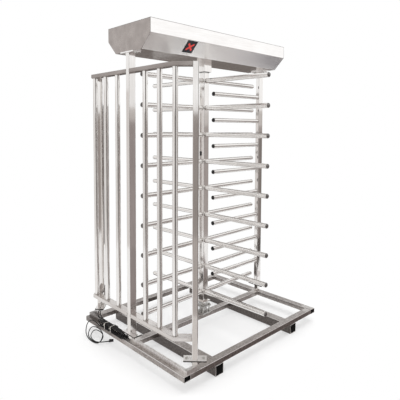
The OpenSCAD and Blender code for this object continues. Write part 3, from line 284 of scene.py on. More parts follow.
# Raw tube is a mottled grey brown with painted light on top and painted shade on its sides, the skids' sides darkest;
# the rail is rubbed nearly white
RAW = raw_steel("raw_tube_steel", ("#c8c3c0", "#9d9692"), ("#a39b97", "#79726f"), "#dedad7")
SKID_STEEL = raw_steel("raw_skid_steel", ("#c8c3c0", "#9d9692"), ("#706a67", "#524d4a"), "#dedad7")
TRACK_STEEL = raw_steel("raw_track_steel", ("#f4f2f0", "#d6d1ce"), ("#f0eeec", "#ccc7c4"), "#f6f5f3")

# Weld beads are blotched, zinc is plain and pale, cast iron and the arms' caps are dull, and machined steel is even
WELD = plain_metal("weld_bead", "#d6d2ce", "#8f8884", 4, (0.25, 0.45))
ZINC = plain_metal("zinc_plating", "#d2d1cd", "#c0beba", 6, (0.26, 0.36))
CAST = plain_metal("cast_bearing_housing", "#cfcdca", "#a5a3a1", 9, (0.30, 0.48))
ARM_CAP = plain_metal("dull_zinc_arm_cap", "#93908e", "#716e6c", 9, (0.30, 0.48))
MACHINED = plain_metal("machined_steel", "#c4c3c1", "#b9b7b5", 12, (0.26, 0.33))

# Inside the head: flat grey primer, black enamel with a low gloss, green lacquer over the board, soft grey aluminium
CHANNEL = plain_metal("grey_primer", "#989a9c", "#8d8f93", 40, (0.45, 0.6), metallic=0.1)
ENAMEL = moulded_plastic("black_enamel", "#17181b", "#2a2c30", 1.5, (0.3, 0.45))
LACQUER = moulded_plastic("board_lacquer", "#1d5a36", "#2f7a4c", 3.0, (0.25, 0.4))
SUPPLY = plain_metal("folded_aluminium", "#c0c0c2", "#b5b5b8", 15, (0.34, 0.42))

# Polythene is the deepest and dullest black, nylon is paler and pebbled, acrylic is glossy, the cables' sheath has a
# soft sheen, and natural nylon is milky
PLUG_BLACK = moulded_plastic("black_polythene", "#040404", "#0b0a0a", 1.2, (0.6, 0.8), gloss=0.1)
BLACK = moulded_plastic("black_nylon", "#151415", "#2c2a2b", 1.2, (0.42, 0.6))
BEZEL = moulded_plastic("black_acrylic_frame", "#08080b", "#15161c", 2.0, (0.12, 0.25), coat=0.4)
SHEATH = moulded_plastic("cable_sheath", "#070606", "#131111", 1.0, (0.32, 0.5), gloss=0.25)
NYLON = moulded_plastic("natural_nylon", "#dcd8cf", "#f0ede6", 1.5, (0.35, 0.5))

# The smoked cover and the lit cross behind it
GLASS = dark_glass("smoked_acrylic")
CROSS = lit_cross("lit_red_cross")

FINISHES = {
    STAINLESS_UP: "main_post_left main_post_right fence_post_front fence_post_back fence_bars_front fence_bars_back "
                  "rotor_column top_sleeve foot_legs",
    STAINLESS_X: "wing_left wing_right comb_arms",
    STAINLESS_Y: "wing_front wing_back rotor_foot",
    BOTTOM_RAIL: "fence_rails_bottom",
    PLATE: "top_plates",
    FOOT_SHEET: "foot_plates",
    TOP_RAIL: "fence_rails_top",
    CANOPY_SHEET: "canopy_tray",
    LID_SHEET: "canopy_lid",
    CANOPY_END: "canopy_end_left canopy_end_right",
    RAW: "base_tube_left base_tube_right base_tube_front base_tube_middle base_tube_back",
    SKID_STEEL: "skid_left skid_right",
    TRACK_STEEL: "fence_track",
    ZINC: "frame_bolts lid_fittings lid_lock",
    CAST: "pivot_bearing top_bearing",
    ARM_CAP: "arm_caps",
    MACHINED: "rotor_shaft index_cam index_arm index_spring pawl_in pawl_out plunger_in plunger_out",
    CHANNEL: "head_channel",
    ENAMEL: "solenoids",
    LACQUER: "control_board",
    SUPPLY: "power_supply",
    BLACK: "comb_caps column_plug cable_gland cable_plug",
    PLUG_BLACK: "end_plugs",
    BEZEL: "indicator_housings",
    GLASS: "indicator_lenses",
    SHEATH: "cable_runs cable_hank cable_coil",
    NYLON: "cable_ties",
}


# Making pieces

SAME_POINT, SHARP, BEVEL_STEPS = 0.00002, radians(40), 2
BEAD_SIDES, RING_BEAD_STEPS, LINE_BEAD_STEP = 6, 36, 0.003

# The signs of the two coordinates in each quarter of a circle, in turn, and the faces of a block whose corners are
# counted with z running fastest
QUARTERS = [(1, 1), (-1, 1), (-1, -1), (1, -1)]
BLOCK_FACES = [[0, 1, 3, 2], [4, 6, 7, 5], [0, 4, 5, 1], [2, 3, 7, 6], [0, 2, 6, 4], [1, 5, 7, 3]]


def soften(obj, width):
    """Breaks the edges of a piece, so that they catch the light as filed edges do."""
    obj.modifiers.new("weld", "WELD").merge_threshold = SAME_POINT
    edge = obj.modifiers.new("edges", "BEVEL")
    edge.width, edge.segments, edge.limit_method, edge.angle_limit = width, BEVEL_STEPS, "ANGLE", SHARP
    edge.use_clamp_overlap = True
    obj.modifiers.new("shading", "WEIGHTED_NORMAL").keep_sharp = False


def turned(angle):
    return Matrix.Rotation(angle, 4, "Z")


def around(steps):
    """The angles of so many even steps round a circle."""
    return [2 * pi * k / steps for k in range(steps)]


def square_to(axis):
    """Two directions square to an axis and to each other."""
    side = axis.orthogonal().normalized()
    return side, axis.cross(side)


def rounded_section(width, height, radius, steps=4):
    """A rectangle round the origin with rounded corners, each in so many steps."""
    return [(cx * (width / 2 - radius) + radius * cos(a), cz * (height / 2 - radius) + radius * sin(a))
            for quarter, (cx, cz) in enumerate(QUARTERS)
            for a in [radians(90 * quarter + 90 * k / steps) for k in range(steps + 1)]]


class Shape:
    """Collects points and faces of several parts that make one piece."""

    def __init__(self):
        self.points, self.faces = [], []

    def take(self, points, faces):
        start = len(self.points)
        self.points += [Vector(p) for p in points]
        self.faces += [[i + start for i in face] for face in faces]

    def rings(self, rings, ends=True):
        """Joins rings of the same number of points, with a face over each end, or else the last ring to the first."""
        n, count = len(rings[0]), len(rings)
        faces = []
        for i in range(count - 1 if ends else count):
            j = (i + 1) % count
            faces += [[i * n + k, i * n + (k + 1) % n, j * n + (k + 1) % n, j * n + k] for k in range(n)]
        if ends:
            faces += [list(range(n)), [(count - 1) * n + k for k in range(n)]]
        self.take([p for ring in rings for p in ring], faces)

    def lathe(self, centre, axis, profile, steps):
        """Turns a profile of (distance along the axis, radius) about an axis."""
        axis = Vector(axis).normalized()
        side, other = square_to(axis)
        self.rings([[Vector(centre) + axis * z + (side * cos(a) + other * sin(a)) * r for a in around(steps)]
                    for z, r in profile])

    def ring_bead(self, centre, axis, radius, thick):
        """A weld bead round a tube, with the small ripples of its weld pool about every 7 mm: every second ring is
        thicker, and a slower wave makes the ripples uneven."""
        axis = Vector(axis).normalized()
        side, other = square_to(axis)
        rings = []
        for k, turn in enumerate(around(RING_BEAD_STEPS)):
            out = side * cos(turn) + other * sin(turn)
            size = thick * (1 + 0.22 * (k % 2) + 0.12 * sin(k * 2.4))
            rings.append([Vector(centre) + out * (radius + size * cos(a)) + axis * size * sin(a)
                          for a in around(BEAD_SIDES)])
        self.rings(rings, ends=False)

    def line_bead(self, start, end, thick):
        """A straight weld bead between two points, rippled in the same way."""
        start, end = Vector(start), Vector(end)
        side, other = square_to((end - start).normalized())
        count = max(3, int((end - start).length / LINE_BEAD_STEP))
        rings = []
        for k in range(count + 1):
            size = thick * (1 + 0.25 * (k % 2) + 0.15 * sin(k * 1.9))
            rings.append([start.lerp(end, k / count) + (side * cos(a) + other * sin(a)) * size
                          for a in around(BEAD_SIDES)])
        self.rings(rings)

    def box(self, low, high, place=None):
        """A plain block between two corners, put in its place by a matrix."""
        corners = [Vector((x, y, z)) for x in (low[0], high[0]) for y in (low[1], high[1]) for z in (low[2], high[2])]
        self.take([place @ c if place else c for c in corners], BLOCK_FACES)

    def build(self, name, material, body, slot, bevel=0.0):
        """Makes the piece, which rides on a body, its sharp edges broken by a bevel of that width."""
        mesh = bpy.data.meshes.new(name)
        mesh.from_pydata([tuple(p) for p in self.points], [], self.faces)
        work = bmesh.new()
        work.from_mesh(mesh)
        bmesh.ops.recalc_face_normals(work, faces=work.faces)
        work.to_mesh(mesh)
        work.free()
        obj = bpy.data.objects.new(name, mesh)
        bpy.context.scene.collection.objects.link(obj)
        mesh.materials.append(material)
        for face in mesh.polygons:
            face.use_smooth = True
        if bevel:
            soften(obj, bevel)
        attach(obj, body)
        return obj


# The cables: the main one runs from its gland through the hank, over the base tube and round the coil to its plug,
# the second one from its gland along the rail to its connector

TRACK_OUTER, TRACK_TOP = 0.772, 0.148
STRAP, CLEAR = 0.0012, 0.0006

# A turn of the hank is a run forward along the top, a bend, a run back along the bottom and a bend, each in so many
# steps. The last turn stops before its second bend. HANK_BACKS and HANK_FRONTS say how far along the tube each bend
# reaches, which is a little uneven.
HANK_RUN, HANK_BEND = 4, 8
HANK_STEPS = 2 * (HANK_RUN + HANK_BEND)
HANK_FOLD = 3 * CABLE
HANK_PITCH = CABLE + 0.0009
HANK_BACKS = [0.400, 0.428, 0.396, 0.436, 0.408, 0.400]
HANK_FRONTS = [0.036, 0.066, 0.044, 0.084, 0.052]
HANK_LAST = HANK_STEPS * len(HANK_FRONTS) - HANK_BEND
HANK_X = -(TRACK_OUTER + CABLE / 2 + STRAP + CLEAR)
HANK_LOW = BASE_TOP + STRAP + CLEAR + CABLE / 2

COIL_STEPS, COIL_LAST = 48, 116
COIL_X, COIL_Y, COIL_DRIFT = -0.880, 0.416, 0.0095

BACK_LEG, LEG_HALF = Vector((-0.669, 0.605, 0.163)), 0.020
GLAND_AXIS = Vector((-cos(pi / 4), -cos(pi / 4), 0))
GLAND_LENGTH, GLAND_SPACING = 0.020, 0.0095
GLAND_FACES = [BACK_LEG + LEG_HALF * GLAND_AXIS + side * GLAND_SPACING * Vector((-cos(pi / 4), cos(pi / 4), 0))
               for side in (-1, 1)]

# Places in mm that the cables pass: down from the leg to the hank, over the base tube, on the floor to the plug, and
# along the rail's top
DROP = [(-724, 562.5, 162), (-733, 551.5, 160.5), (-741.5, 539.5, 158.8), (-749, 526.5, 157), (-755.5, 512.5, 155.5),
        (-761, 497.5, 154.5), (-765.5, 482, 154.2), (-769, 466, 154.8), (-771.8, 449.5, 156.5), (-774, 433, 159),
        (-775.8, 416, 162.3), (-777, 402, 165.5)]
OVER = [(-815, 402, 126.5), (-818, 415, 131), (-822.5, 428, 138), (-828, 440, 145), (-833, 452, 150),
        (-838, 466, 152.5)]
ON_FLOOR = [(-856, 391, 3.5), (-852, 378, 3.5), (-845, 366, 3.5), (-835.5, 355.5, 3.5), (-824, 346.5, 3.5),
            (-811.5, 338.5, 3.5), (-798.5, 331, 3.5), (-785.5, 323.5, 3.5)]
ALONG = [(-710.5, 549, 162), (-719, 538, 160.5), (-727, 526, 158.5), (-734.5, 513, 156.5), (-741, 499, 154.8),
         (-746.5, 484, 153.4), (-751, 468, 152.4), (-754.5, 451, 152), (-757, 434, 151.8), (-759, 417, 151.8),
         (-760.5, 400, 151.8), (-761.5, 380, 151.8), (-762, 360, 151.8), (-762, 340, 151.8), (-762, 320, 151.8),
         (-761.5, 300, 151.8), (-761, 282, 152.4), (-760.5, 266, 154)]


def hank_place(k):
    """Place of step k of the hank."""
    turn, step = divmod(k, HANK_STEPS)
    half, step = divmod(step, HANK_STEPS / 2)
    front = HANK_FRONTS[int(turn)] + CABLE / 2 + HANK_FOLD
    back = HANK_BACKS[int(turn + half)] - CABLE / 2 - HANK_FOLD
    start, end, up = (front, back, -1) if half else (back, front, 1)
    middle = HANK_LOW + HANK_FOLD
    if step < HANK_RUN:
        y, z = start + (end - start) * step / HANK_RUN, middle + up * HANK_FOLD
    else:
        a = radians(90 + 180 * half + 180 / HANK_BEND * (step - HANK_RUN))
        y, z = end + HANK_FOLD * cos(a), middle + HANK_FOLD * sin(a)
    return Vector((HANK_X - HANK_PITCH * k / HANK_STEPS, y, z))


def coil_place(t):
    """Place in the coil after t turns: each turn is smaller than the last and leans further towards the base tube."""
    a = radians(60) - 2 * pi * t
    half_l, half_h, lean = 0.126 - 0.021 * t, 0.078 - 0.034 * t + 0.008 * t * t, radians(15 + 16 * t)
    rise = half_h * (1 + sin(a))
    return Vector((COIL_X + COIL_DRIFT * t + rise * sin(lean),
                   COIL_Y + half_h * cos(a) + (half_l - half_h) * (1.5 * cos(a) - 0.5 * cos(a) ** 3),
                   CABLE / 2 + rise * cos(lean)))


def in_metres(places):
    return [Vector(p) * MM for p in places]


def smooth_route(points, steps=3):
    """A soft curve through given points, with so many steps from each to the next."""
    out = []
    for i in range(len(points) - 1):
        a, b, c, d = (points[max(i - 1, 0)], points[i], points[i + 1], points[min(i + 2, len(points) - 1)])
        for k in range(steps):
            t = k / steps
            out.append(0.5 * (2 * b + (c - a) * t + (2 * a - 5 * b + 4 * c - d) * t * t
                              + (3 * b - a - 3 * c + d) * t ** 3))
    return out + [points[-1]]


def leave_gland(face):
    """The first two points of a cable's centre line: its gland's mouth, and a little further out."""
    mouth = face + GLAND_LENGTH * GLAND_AXIS
    return [mouth, mouth + 2 * CABLE * GLAND_AXIS]


def main_route():
    """The main cable's centre line: gland, hank, over the base tube, round the coil, plug."""
    hank = [hank_place(k / 2) for k in range(2 * HANK_LAST + 1)]
    coil = [coil_place(k / COIL_STEPS) for k in range(COIL_LAST + 1)]
    lead, into = Vector((0, CABLE, 0)), (coil[2] - coil[0]).normalized() * CABLE
    first = leave_gland(GLAND_FACES[1]) + in_metres(DROP) + [hank[0] + 2 * lead, hank[0] + lead]
    link = [hank[-1] + lead, hank[-1] + 2 * lead] + in_metres(OVER) + [coil[0] - 2 * into, coil[0] - into]
    end = [coil[-1] - lead, coil[-1] - 2 * lead] + in_metres(ON_FLOOR)
    return smooth_route(first) + hank + smooth_route(link) + coil + smooth_route(end)


def second_route():
    """The second cable's centre line: gland, along the rail's top, connector."""
    return smooth_route(leave_gland(GLAND_FACES[0]) + in_metres(ALONG))


def make_cable(name, route, *nodes):
    curve = bpy.data.curves.new(name, "CURVE")
    curve.dimensions = "3D"
    curve.bevel_depth, curve.bevel_resolution, curve.use_fill_caps = CABLE / 2, 3, True
    line = curve.splines.new("POLY")
    line.points.add(len(route) - 1)
    for point, place in zip(line.points, route):
        point.co = (*place, 1)
    curve.materials.append(SHEATH)
    cable = bpy.data.objects.new(name, curve)
    bpy.context.scene.collection.objects.link(cable)
    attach(cable, "frame")
    if nodes:
        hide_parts(*nodes)
    return cable


# What the cables end in, each measured along its own axis from the end of the cable

SLEEVE_GAP, SLEEVE_RIBS = 0.0004, 13
PLUG_BODY = (0.0142, -0.0118, 0.0002), (0.036, 0.0118, 0.0158)
PLUG_COLLAR = (0.0364, -0.0108, 0.0008), (0.0498, 0.0108, 0.0150)
PLUG_GRIPS, GRIP_PITCH = 5, 0.0035
CONNECTOR_RADIUS, KNURLS = 0.0075, 13
HEXAGON, ROUND = 6, 24


def cable_end(route):
    """Where a cable ends, and which way it heads there."""
    return route[-1], (route[-1] - route[-3]).normalized()


def ribbed_sleeve(shape, place, heading):
    """The soft sleeve where a cable enters its connector: ribs that grow towards the body."""
    ribs = [(0.0006 + 0.0010 * i, 0.0042 + 0.0001 * i + (0.0007 if i % 2 else 0)) for i in range(SLEEVE_RIBS)]
    shape.lathe(place + heading * SLEEVE_GAP, heading, [(0, 0.0037)] + ribs + [(0.0145, 0.0048)], 16)


def make_plug(route):
    """A flat two-part connector: a ribbed sleeve, a body with a grip, and a locking collar."""
    place, heading = cable_end(route)
    shape = Shape()
    ribbed_sleeve(shape, place, heading)
    for point in shape.points:
        point.z = max(point.z, PLUG_BODY[0][2])
    seat = Matrix.Translation((place.x, place.y, 0)) @ turned(atan2(heading.y, heading.x))
    shape.box(*PLUG_BODY, seat)
    shape.box(*PLUG_COLLAR, seat)
    for i in range(PLUG_GRIPS):
        shape.box((0.017 + GRIP_PITCH * i, -0.0095, 0.0150), (0.0186 + GRIP_PITCH * i, 0.0095, 0.0160), seat)
    plug = shape.build("cable_plug_body", BLACK, "frame", "black_plastic", bevel=0.0009)
    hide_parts("cable_plug")
    return plug


def make_connector(route):
    """A round in-line connector lying on the rail: ribbed sleeve, body with a knurled locking ring."""
    place, heading = cable_end(route)
    shape = Shape()
    ribbed_sleeve(shape, place, heading)
    level = Vector((heading.x, heading.y, 0)).normalized()
    centre = Vector((place.x, place.y, TRACK_TOP + CONNECTOR_RADIUS + SLEEVE_GAP))
    body = [(0.0142, 0.0054), (0.0160, 0.0068), (0.0325, 0.0068), (0.0330, 0.0058)]
    ring = [(0.034 + 0.0011 * i, 0.0074 - (0.0006 if i % 2 else 0)) for i in range(KNURLS)]
    shape.lathe(centre, level, body + ring + [(0.0485, 0.0056), (0.0600, 0.0056)], ROUND)
    return shape.build("cable_connector_body", BLACK, "frame", "black_plastic", bevel=0.0003)


def make_glands():
    """Cable glands: a locknut against the leg, a hexagon body, and a dome nut that tapers down to the cable."""
    dome = [(0.0104, 0.0066), (0.0135, 0.0063), (0.0168, 0.0055), (0.0190, 0.0045), (0.0198, 0.0038)]
    shape = Shape()
    for face in GLAND_FACES:
        shape.lathe(face, GLAND_AXIS, [(0.0003, 0.0074), (0.0046, 0.0074)], HEXAGON)
        shape.lathe(face, GLAND_AXIS, [(0.0048, 0.0062), (0.0062, 0.0062)], ROUND)
        shape.lathe(face, GLAND_AXIS, [(0.0062, 0.0070), (0.0104, 0.0072)], HEXAGON)
        shape.lathe(face, GLAND_AXIS, dome, ROUND)
    glands = shape.build("cable_gland_bodies", BLACK, "frame", "black_plastic", bevel=0.0005)
    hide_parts("cable_gland")
    return glands


TIE_PLACES = (0.312, 0.225)
TIE_GAP, TIE_THICK, TIE_HALF_WIDTH, TIE_ROUNDING = 0.0003, 0.0011, 0.0023, 0.007


def make_ties():
    """Two nylon ties round the hank, each a thin strap with rounded corners, a head and a cut-off tail."""
    inner = HANK_X + CABLE / 2 + TIE_GAP
    outer = HANK_X - HANK_PITCH * HANK_LAST / HANK_STEPS - CABLE / 2 - TIE_GAP
    low, high = BASE_TOP + 0.0016, HANK_LOW + 2 * HANK_FOLD + CABLE / 2 + TIE_GAP
    run, rise, bend = (inner - outer) / 2 - TIE_ROUNDING, (high - low) / 2 - TIE_ROUNDING, TIE_ROUNDING
    section = ((0, -TIE_HALF_WIDTH), (TIE_THICK, -TIE_HALF_WIDTH), (TIE_THICK, TIE_HALF_WIDTH), (0, TIE_HALF_WIDTH))
    shape = Shape()
    for y in TIE_PLACES:
        centre = Vector(((inner + outer) / 2, y, (low + high) / 2))
        loop = [(cx * run, cz * rise, radians(90 * quarter + 15 * k))
                for quarter, (cx, cz) in enumerate(QUARTERS) for k in range(7)]
        shape.rings([[centre + Vector((x + (bend + out) * cos(a), across, z + (bend + out) * sin(a)))
                      for out, across in section] for x, z, a in loop], ends=False)
        shape.box((outer - 0.0066, y - 0.0036, high - 0.016), (outer - 0.0010, y + 0.0036, high - 0.008))
        shape.box((outer - 0.0150, y - TIE_HALF_WIDTH, high - 0.0125),
                  (outer - 0.0064, y + TIE_HALF_WIDTH, high - 0.0115))
    ties = shape.build("cable_tie_straps", NYLON, "frame", "tie_plastic", bevel=0.0003)
    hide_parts("cable_ties")
    return ties


MAIN_ROUTE, SECOND_ROUTE = main_route(), second_route()
MAIN_CABLE = make_cable("supply_cable", MAIN_ROUTE, "cable_runs", "cable_hank", "cable_coil")
SECOND_CABLE = make_cable("control_cable", SECOND_ROUTE)
PLUG, CONNECTOR, GLANDS, TIES = make_plug(MAIN_ROUTE), make_connector(SECOND_ROUTE), make_glands(), make_ties()


# Finishes and broken edges of the solids

BEVELS = {
    0.0012: "canopy_tray canopy_end_left canopy_end_right canopy_lid foot_plates top_plates fence_track end_plugs "
            "indicator_housings pivot_bearing rotor_foot",
    0.0006: "frame_bolts lid_fittings lid_lock main_post_left main_post_right rotor_column top_sleeve foot_legs",
    0.0060: "skid_left skid_right base_tube_left base_tube_right base_tube_front base_tube_middle base_tube_back",
}


def finish_solids():
    for material, names in FINISHES.items():
        for name in names.split():
            mesh = NODES[name].data
            mesh.materials.clear()
            mesh.materials.append(material)
    for width, names in BEVELS.items():
        for name in names.split():
            soften(NODES[name], width)


finish_solids()


# Fence rails: rectangular tube with rolled corners, mitred at each bend

RAIL_ROUNDING = 0.0045


def make_rails():
    run = FENCE_RETURN - POST_WIDTH / 2 * cos(pi / 4)
    section = rounded_section(POST_DEPTH, RAIL_HEIGHT, RAIL_ROUNDING)
    for name, low in RAIL_LEVELS.items():
        z = low + RAIL_HEIGHT / 2
        shape = Shape()
        for side in (-1, 1):
            # Each bend: its place, the way its mitre points, and how far the mitre stretches the section
            path = [((-POST_X, side * POST_WIDTH / 2, z), (-1, 0, 0), 1),
                    ((-POST_X, side * FENCE_CORNER, z), (-cos(pi / 8), side * sin(pi / 8), 0), 1 / cos(pi / 8)),
                    ((run - POST_X, side * (FENCE_CORNER + run), z), (-cos(pi / 4), side * cos(pi / 4), 0), 1)]
            shape.rings([[Vector(place) + Vector(out) * u * stretch + Vector((0, 0, v)) for u, v in section]
                         for place, out, stretch in path])
        finish = TOP_RAIL if name == "fence_rails_top" else BOTTOM_RAIL
        rails = shape.build("dressed_" + name, finish, "frame", "stainless", bevel=0.0003)
        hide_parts(name)


make_rails()


# Weld beads: each sits a little off the faces that it joins

COLUMN_FACE, TRACK_INNER = 0.0305, 0.7518
END_GAP, SIDE_GAP, TOP_GAP = 0.0005, 0.0002, 0.0004
ARM_BEAD_RADIUS = ARM_RADIUS + 0.0004
HALF_RUN = 0.026
JOINT_BEAD_LOW, JOINT_BEAD_HIGH = 0.085, BASE_TOP - 0.003

# Where each bead along the rail on the left tube starts, and how long it is
TRACK_BEADS = [(-0.59, 0.09), (0.59, -0.09), (-0.36, 0.05), (-0.12, 0.05), (0.12, 0.05), (0.36, 0.05)]


def rotor_welds():
    """Round each arm where it meets the column."""
    arms = Shape()
    for quarter in range(4):
        turn = turned(REST_TURN + quarter * pi / 2)
        for z in ARM_LEVELS:
            arms.ring_bead(turn @ Vector((COLUMN_FACE, 0, z)), turn @ Vector((1, 0, 0)), ARM_BEAD_RADIUS, thick=0.0021)
    arms.build("rotor_weld_beads", WELD, "rotor", "stainless")


def fence_welds():
    """Round each comb arm at its post and each bar at its rails, and round the rails' ends at the left post."""
    fence = Shape()
    for z in COMB_LEVELS:
        fence.ring_bead((POST_X - POST_DEPTH / 2 - END_GAP, 0, z), (1, 0, 0), ARM_BEAD_RADIUS, thick=0.0021)
    low, high = RAIL_LEVELS["fence_rails_bottom"] + RAIL_HEIGHT, RAIL_LEVELS["fence_rails_top"]
    for side in (-1, 1):
        for y in BAR_PLACES:
            for z in (low + END_GAP, high - END_GAP):
                fence.ring_bead((-POST_X, side * y, z), (0, 0, 1), ARM_BEAD_RADIUS, thick=0.0018)
        beside, across = side * (POST_WIDTH / 2 + SIDE_GAP), side * (POST_WIDTH / 2 + TOP_GAP)
        for z in RAIL_LEVELS.values():
            for x in (-POST_X - POST_DEPTH / 2, -POST_X + POST_DEPTH / 2):
                fence.line_bead((x, beside, z + 0.004), (x, beside, z + RAIL_HEIGHT - 0.004), thick=0.0014)
            for rise in (0, RAIL_HEIGHT):
                fence.line_bead((-POST_X - HALF_RUN, across, z + rise), (-POST_X + HALF_RUN, across, z + rise),
                                thick=0.0014)
    fence.build("fence_weld_beads", WELD, "frame", "stainless")


def base_welds():
    """On top and at the sides of each joint of the base, and along the foot of the rail on the left tube."""
    base = Shape()
    for x in (-JOINT_X, JOINT_X):
        for y in CROSS_TUBE_Y:
            base.line_bead((x, y - HALF_RUN, BASE_TOP), (x, y + HALF_RUN, BASE_TOP), thick=0.0016)
            for side in (-1, 1):
                if abs(y + side * TUBE_HALF) < FRAME_END:
                    beside = y + side * (TUBE_HALF + SIDE_GAP)
                    base.line_bead((x, beside, JOINT_BEAD_LOW), (x, beside, JOINT_BEAD_HIGH), thick=0.0018)
    foot = BASE_TOP + TOP_GAP
    for start, length in TRACK_BEADS:
        base.line_bead((-TRACK_INNER, start, foot), (-TRACK_INNER, start + length, foot), thick=0.0018)
    base.build("base_weld_beads", WELD, "frame", "raw_steel")


rotor_welds()
fence_welds()
base_welds()


# Indicators: a smoked cover with a lit red cross behind each slanted side

INDICATOR_X, TRAY_WIDTH = -0.376, 0.332
HOUSING_HALF, HOUSING_GAP = 0.055, 0.006
COVER_WIDTH, COVER_HEIGHT, STROKE_LENGTH, STROKE_WIDTH, ROUNDING = 0.0816, 0.0916, 0.080, 0.0155, 0.004
COVER_LEVELS, STROKE_LEVELS = (0.0002, 0.0021), (0.0015, 0.0026)


def on_slope(turn):
    """The frame on a slanted side: Y up the slope, Z out of it, at the indicator's centre."""
    angle = atan2(SLOPE_RISE, SLOPE_RUN)
    rise = sqrt(SLOPE_RUN ** 2 + SLOPE_RISE ** 2) / 2 - HOUSING_HALF - HOUSING_GAP
    middle = (INDICATOR_X, -(TRAY_WIDTH + SLOPE_RUN) / 2, CANOPY_BOTTOM + SLOPE_RISE / 2)
    return (turned(turn) @ Matrix.Translation(middle)
            @ Matrix.Rotation(pi - angle, 4, "X") @ Matrix.Translation((0, rise, 0)))


def make_indicators():
    outline = rounded_section(COVER_WIDTH, COVER_HEIGHT, ROUNDING)
    stroke = rounded_section(STROKE_LENGTH, STROKE_WIDTH, ROUNDING)
    covers, crosses = Shape(), Shape()
    for turn in (0, pi):
        place = on_slope(turn)
        covers.rings([[place @ Vector((x, y, z)) for x, y in outline] for z in COVER_LEVELS])
        for lean in (-pi / 4, pi / 4):
            bar = place @ turned(lean)
            crosses.rings([[bar @ Vector((x, y, z)) for x, y in stroke] for z in STROKE_LEVELS])
    cover = covers.build("indicator_covers", GLASS, "frame", "indicator_black", bevel=0.0004)
    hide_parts("indicator_lenses")
    crosses.build("indicator_crosses", CROSS, "frame", "indicator_red", bevel=0.0003)


make_indicators()


# Studio: pale floor, white backdrop, three soft lamps, and cards that only reflections see

WHITE = "#ffffff"
SOFT_LIGHT, SEEN_WHITE = 0.90, 1.0
FRAME_HALF = (0.80, 0.64, 0)
SHADOW_STARTS_TO_FADE, SHADOW_ENDS = 0.05, 0.40
FLOOR_REACH = 30


def seen_rays(tree):
    """1 for the rays that look at the background: from the camera, from a reflection, or through glass."""
    path = add(tree, "LightPath").outputs
    both = add(tree, "Math", [path["Is Camera Ray"], path["Is Glossy Ray"]], operation="ADD")
    return add(tree, "Math", [both, path["Is Transmission Ray"]], operation="ADD", use_clamp=True)


def make_world():
    """Soft light for the object, and plain white for all that looks at the background."""
    world = bpy.data.worlds.new("studio")
    bpy.context.scene.world = world
    world.use_nodes = True
    tree = world.node_tree
    tree.nodes.clear()
    soft = add(tree, "Background", {"Color": WHITE, "Strength": SOFT_LIGHT})
    white = add(tree, "Background", {"Color": WHITE, "Strength": SEEN_WHITE})
    add(tree, "OutputWorld", [add(tree, "MixShader", [seen_rays(tree), soft, white])])


def stage_sheet(name, corners, material):
    """A flat sheet that belongs to the set and not to the object."""
    mesh = bpy.data.meshes.new(name)
    mesh.from_pydata([tuple(c) for c in corners], [], [list(range(len(corners)))])
    mesh.materials.append(material)
    obj = bpy.data.objects.new(name, mesh)
    bpy.context.scene.collection.objects.link(obj)
    return obj


def make_floor():
    """Pale sheet: shadowed under and beside the object, white as the backdrop once it is 0.4 m from the frame."""
    material, tree = new_material("pale_floor")
    folded = add(tree, "VectorMath", [add(tree, "TexCoord").outputs["Object"]], operation="ABSOLUTE")
    past = add(tree, "VectorMath", [folded, FRAME_HALF], operation="SUBTRACT")
    outside = add(tree, "VectorMath", [past, (0, 0, 0)], operation="MAXIMUM")
    away = add(tree, "VectorMath", [outside], operation="LENGTH")
    fade = add(tree, "MapRange", [away, SHADOW_STARTS_TO_FADE, SHADOW_ENDS, 0.45, 1])
    far = add(tree, "Math", [fade, seen_rays(tree)], operation="MULTIPLY")
    near = add(tree, "BsdfDiffuse", {"Color": "#fafafa"})
    white = add(tree, "Emission", {"Color": WHITE, "Strength": SEEN_WHITE})
    add(tree, "OutputMaterial", [add(tree, "MixShader", [far, near, white])])
    stage_sheet("floor", [(x * FLOOR_REACH, y * FLOOR_REACH, 0) for x, y in QUARTERS], material)


def card(name, tone, corners):
    """A card beside the set, seen only in reflections, which gives the brushed metal its darker sides."""
    material, tree = new_material(name)
    add(tree, "OutputMaterial", [add(tree, "Emission", {"Color": tone, "Strength": 1})])
    obj = stage_sheet(name, corners, material)
    obj.visible_camera = obj.visible_diffuse = obj.visible_shadow = obj.visible_transmission = False


# Upright cards: tone, the two places on the floor plan between which each stands, lower edge, upper edge. Those on the
# right and behind the camera shade the posts' two visible sides, those at the back the tubes that are seen from behind.
UPRIGHT_CARDS = {
    "card_right": ("#9f9694", (0.05, -2.75), (2.05, -2.25), 0, 1.86),
    "card_right_upper": ("#cbc5c2", (0.05, -2.75), (2.05, -2.25), 1.86, 2.05),
    "card_far_right": ("#aca4a1", (2.05, -2.25), (3.9, -1.0), 0, 1.8),
    "card_far_right_upper": ("#cfcac7", (2.05, -2.25), (3.9, -1.0), 1.8, 2.05),
    "card_front_right_end": ("#857e7a", (2.75, -1.68), (3.05, -1.45), 0, 1.7),
    "card_behind_left": ("#a49c98", (-3.95, -0.75), (-3.45, -1.75), 0, 2.0),
    "card_behind_camera": ("#9d9692", (-3.97, -2.98), (-3.26, -3.68), 0, 2.0),
    "card_behind_bars": ("#55504d", (-3.26, -3.68), (-0.9, -4.6), 0, 3.0),
    "card_left_far": ("#e4e0de", (-3.7, 1.0), (-2.0, 3.3), 0, 2.3),
    "card_back_left": ("#756e6a", (-0.6, 8.8), (6.2, 6.2), 0, 2.4),
    "card_back_right": ("#756e6a", (6.2, 6.2), (8.8, 0.0), 0, 2.4),
}

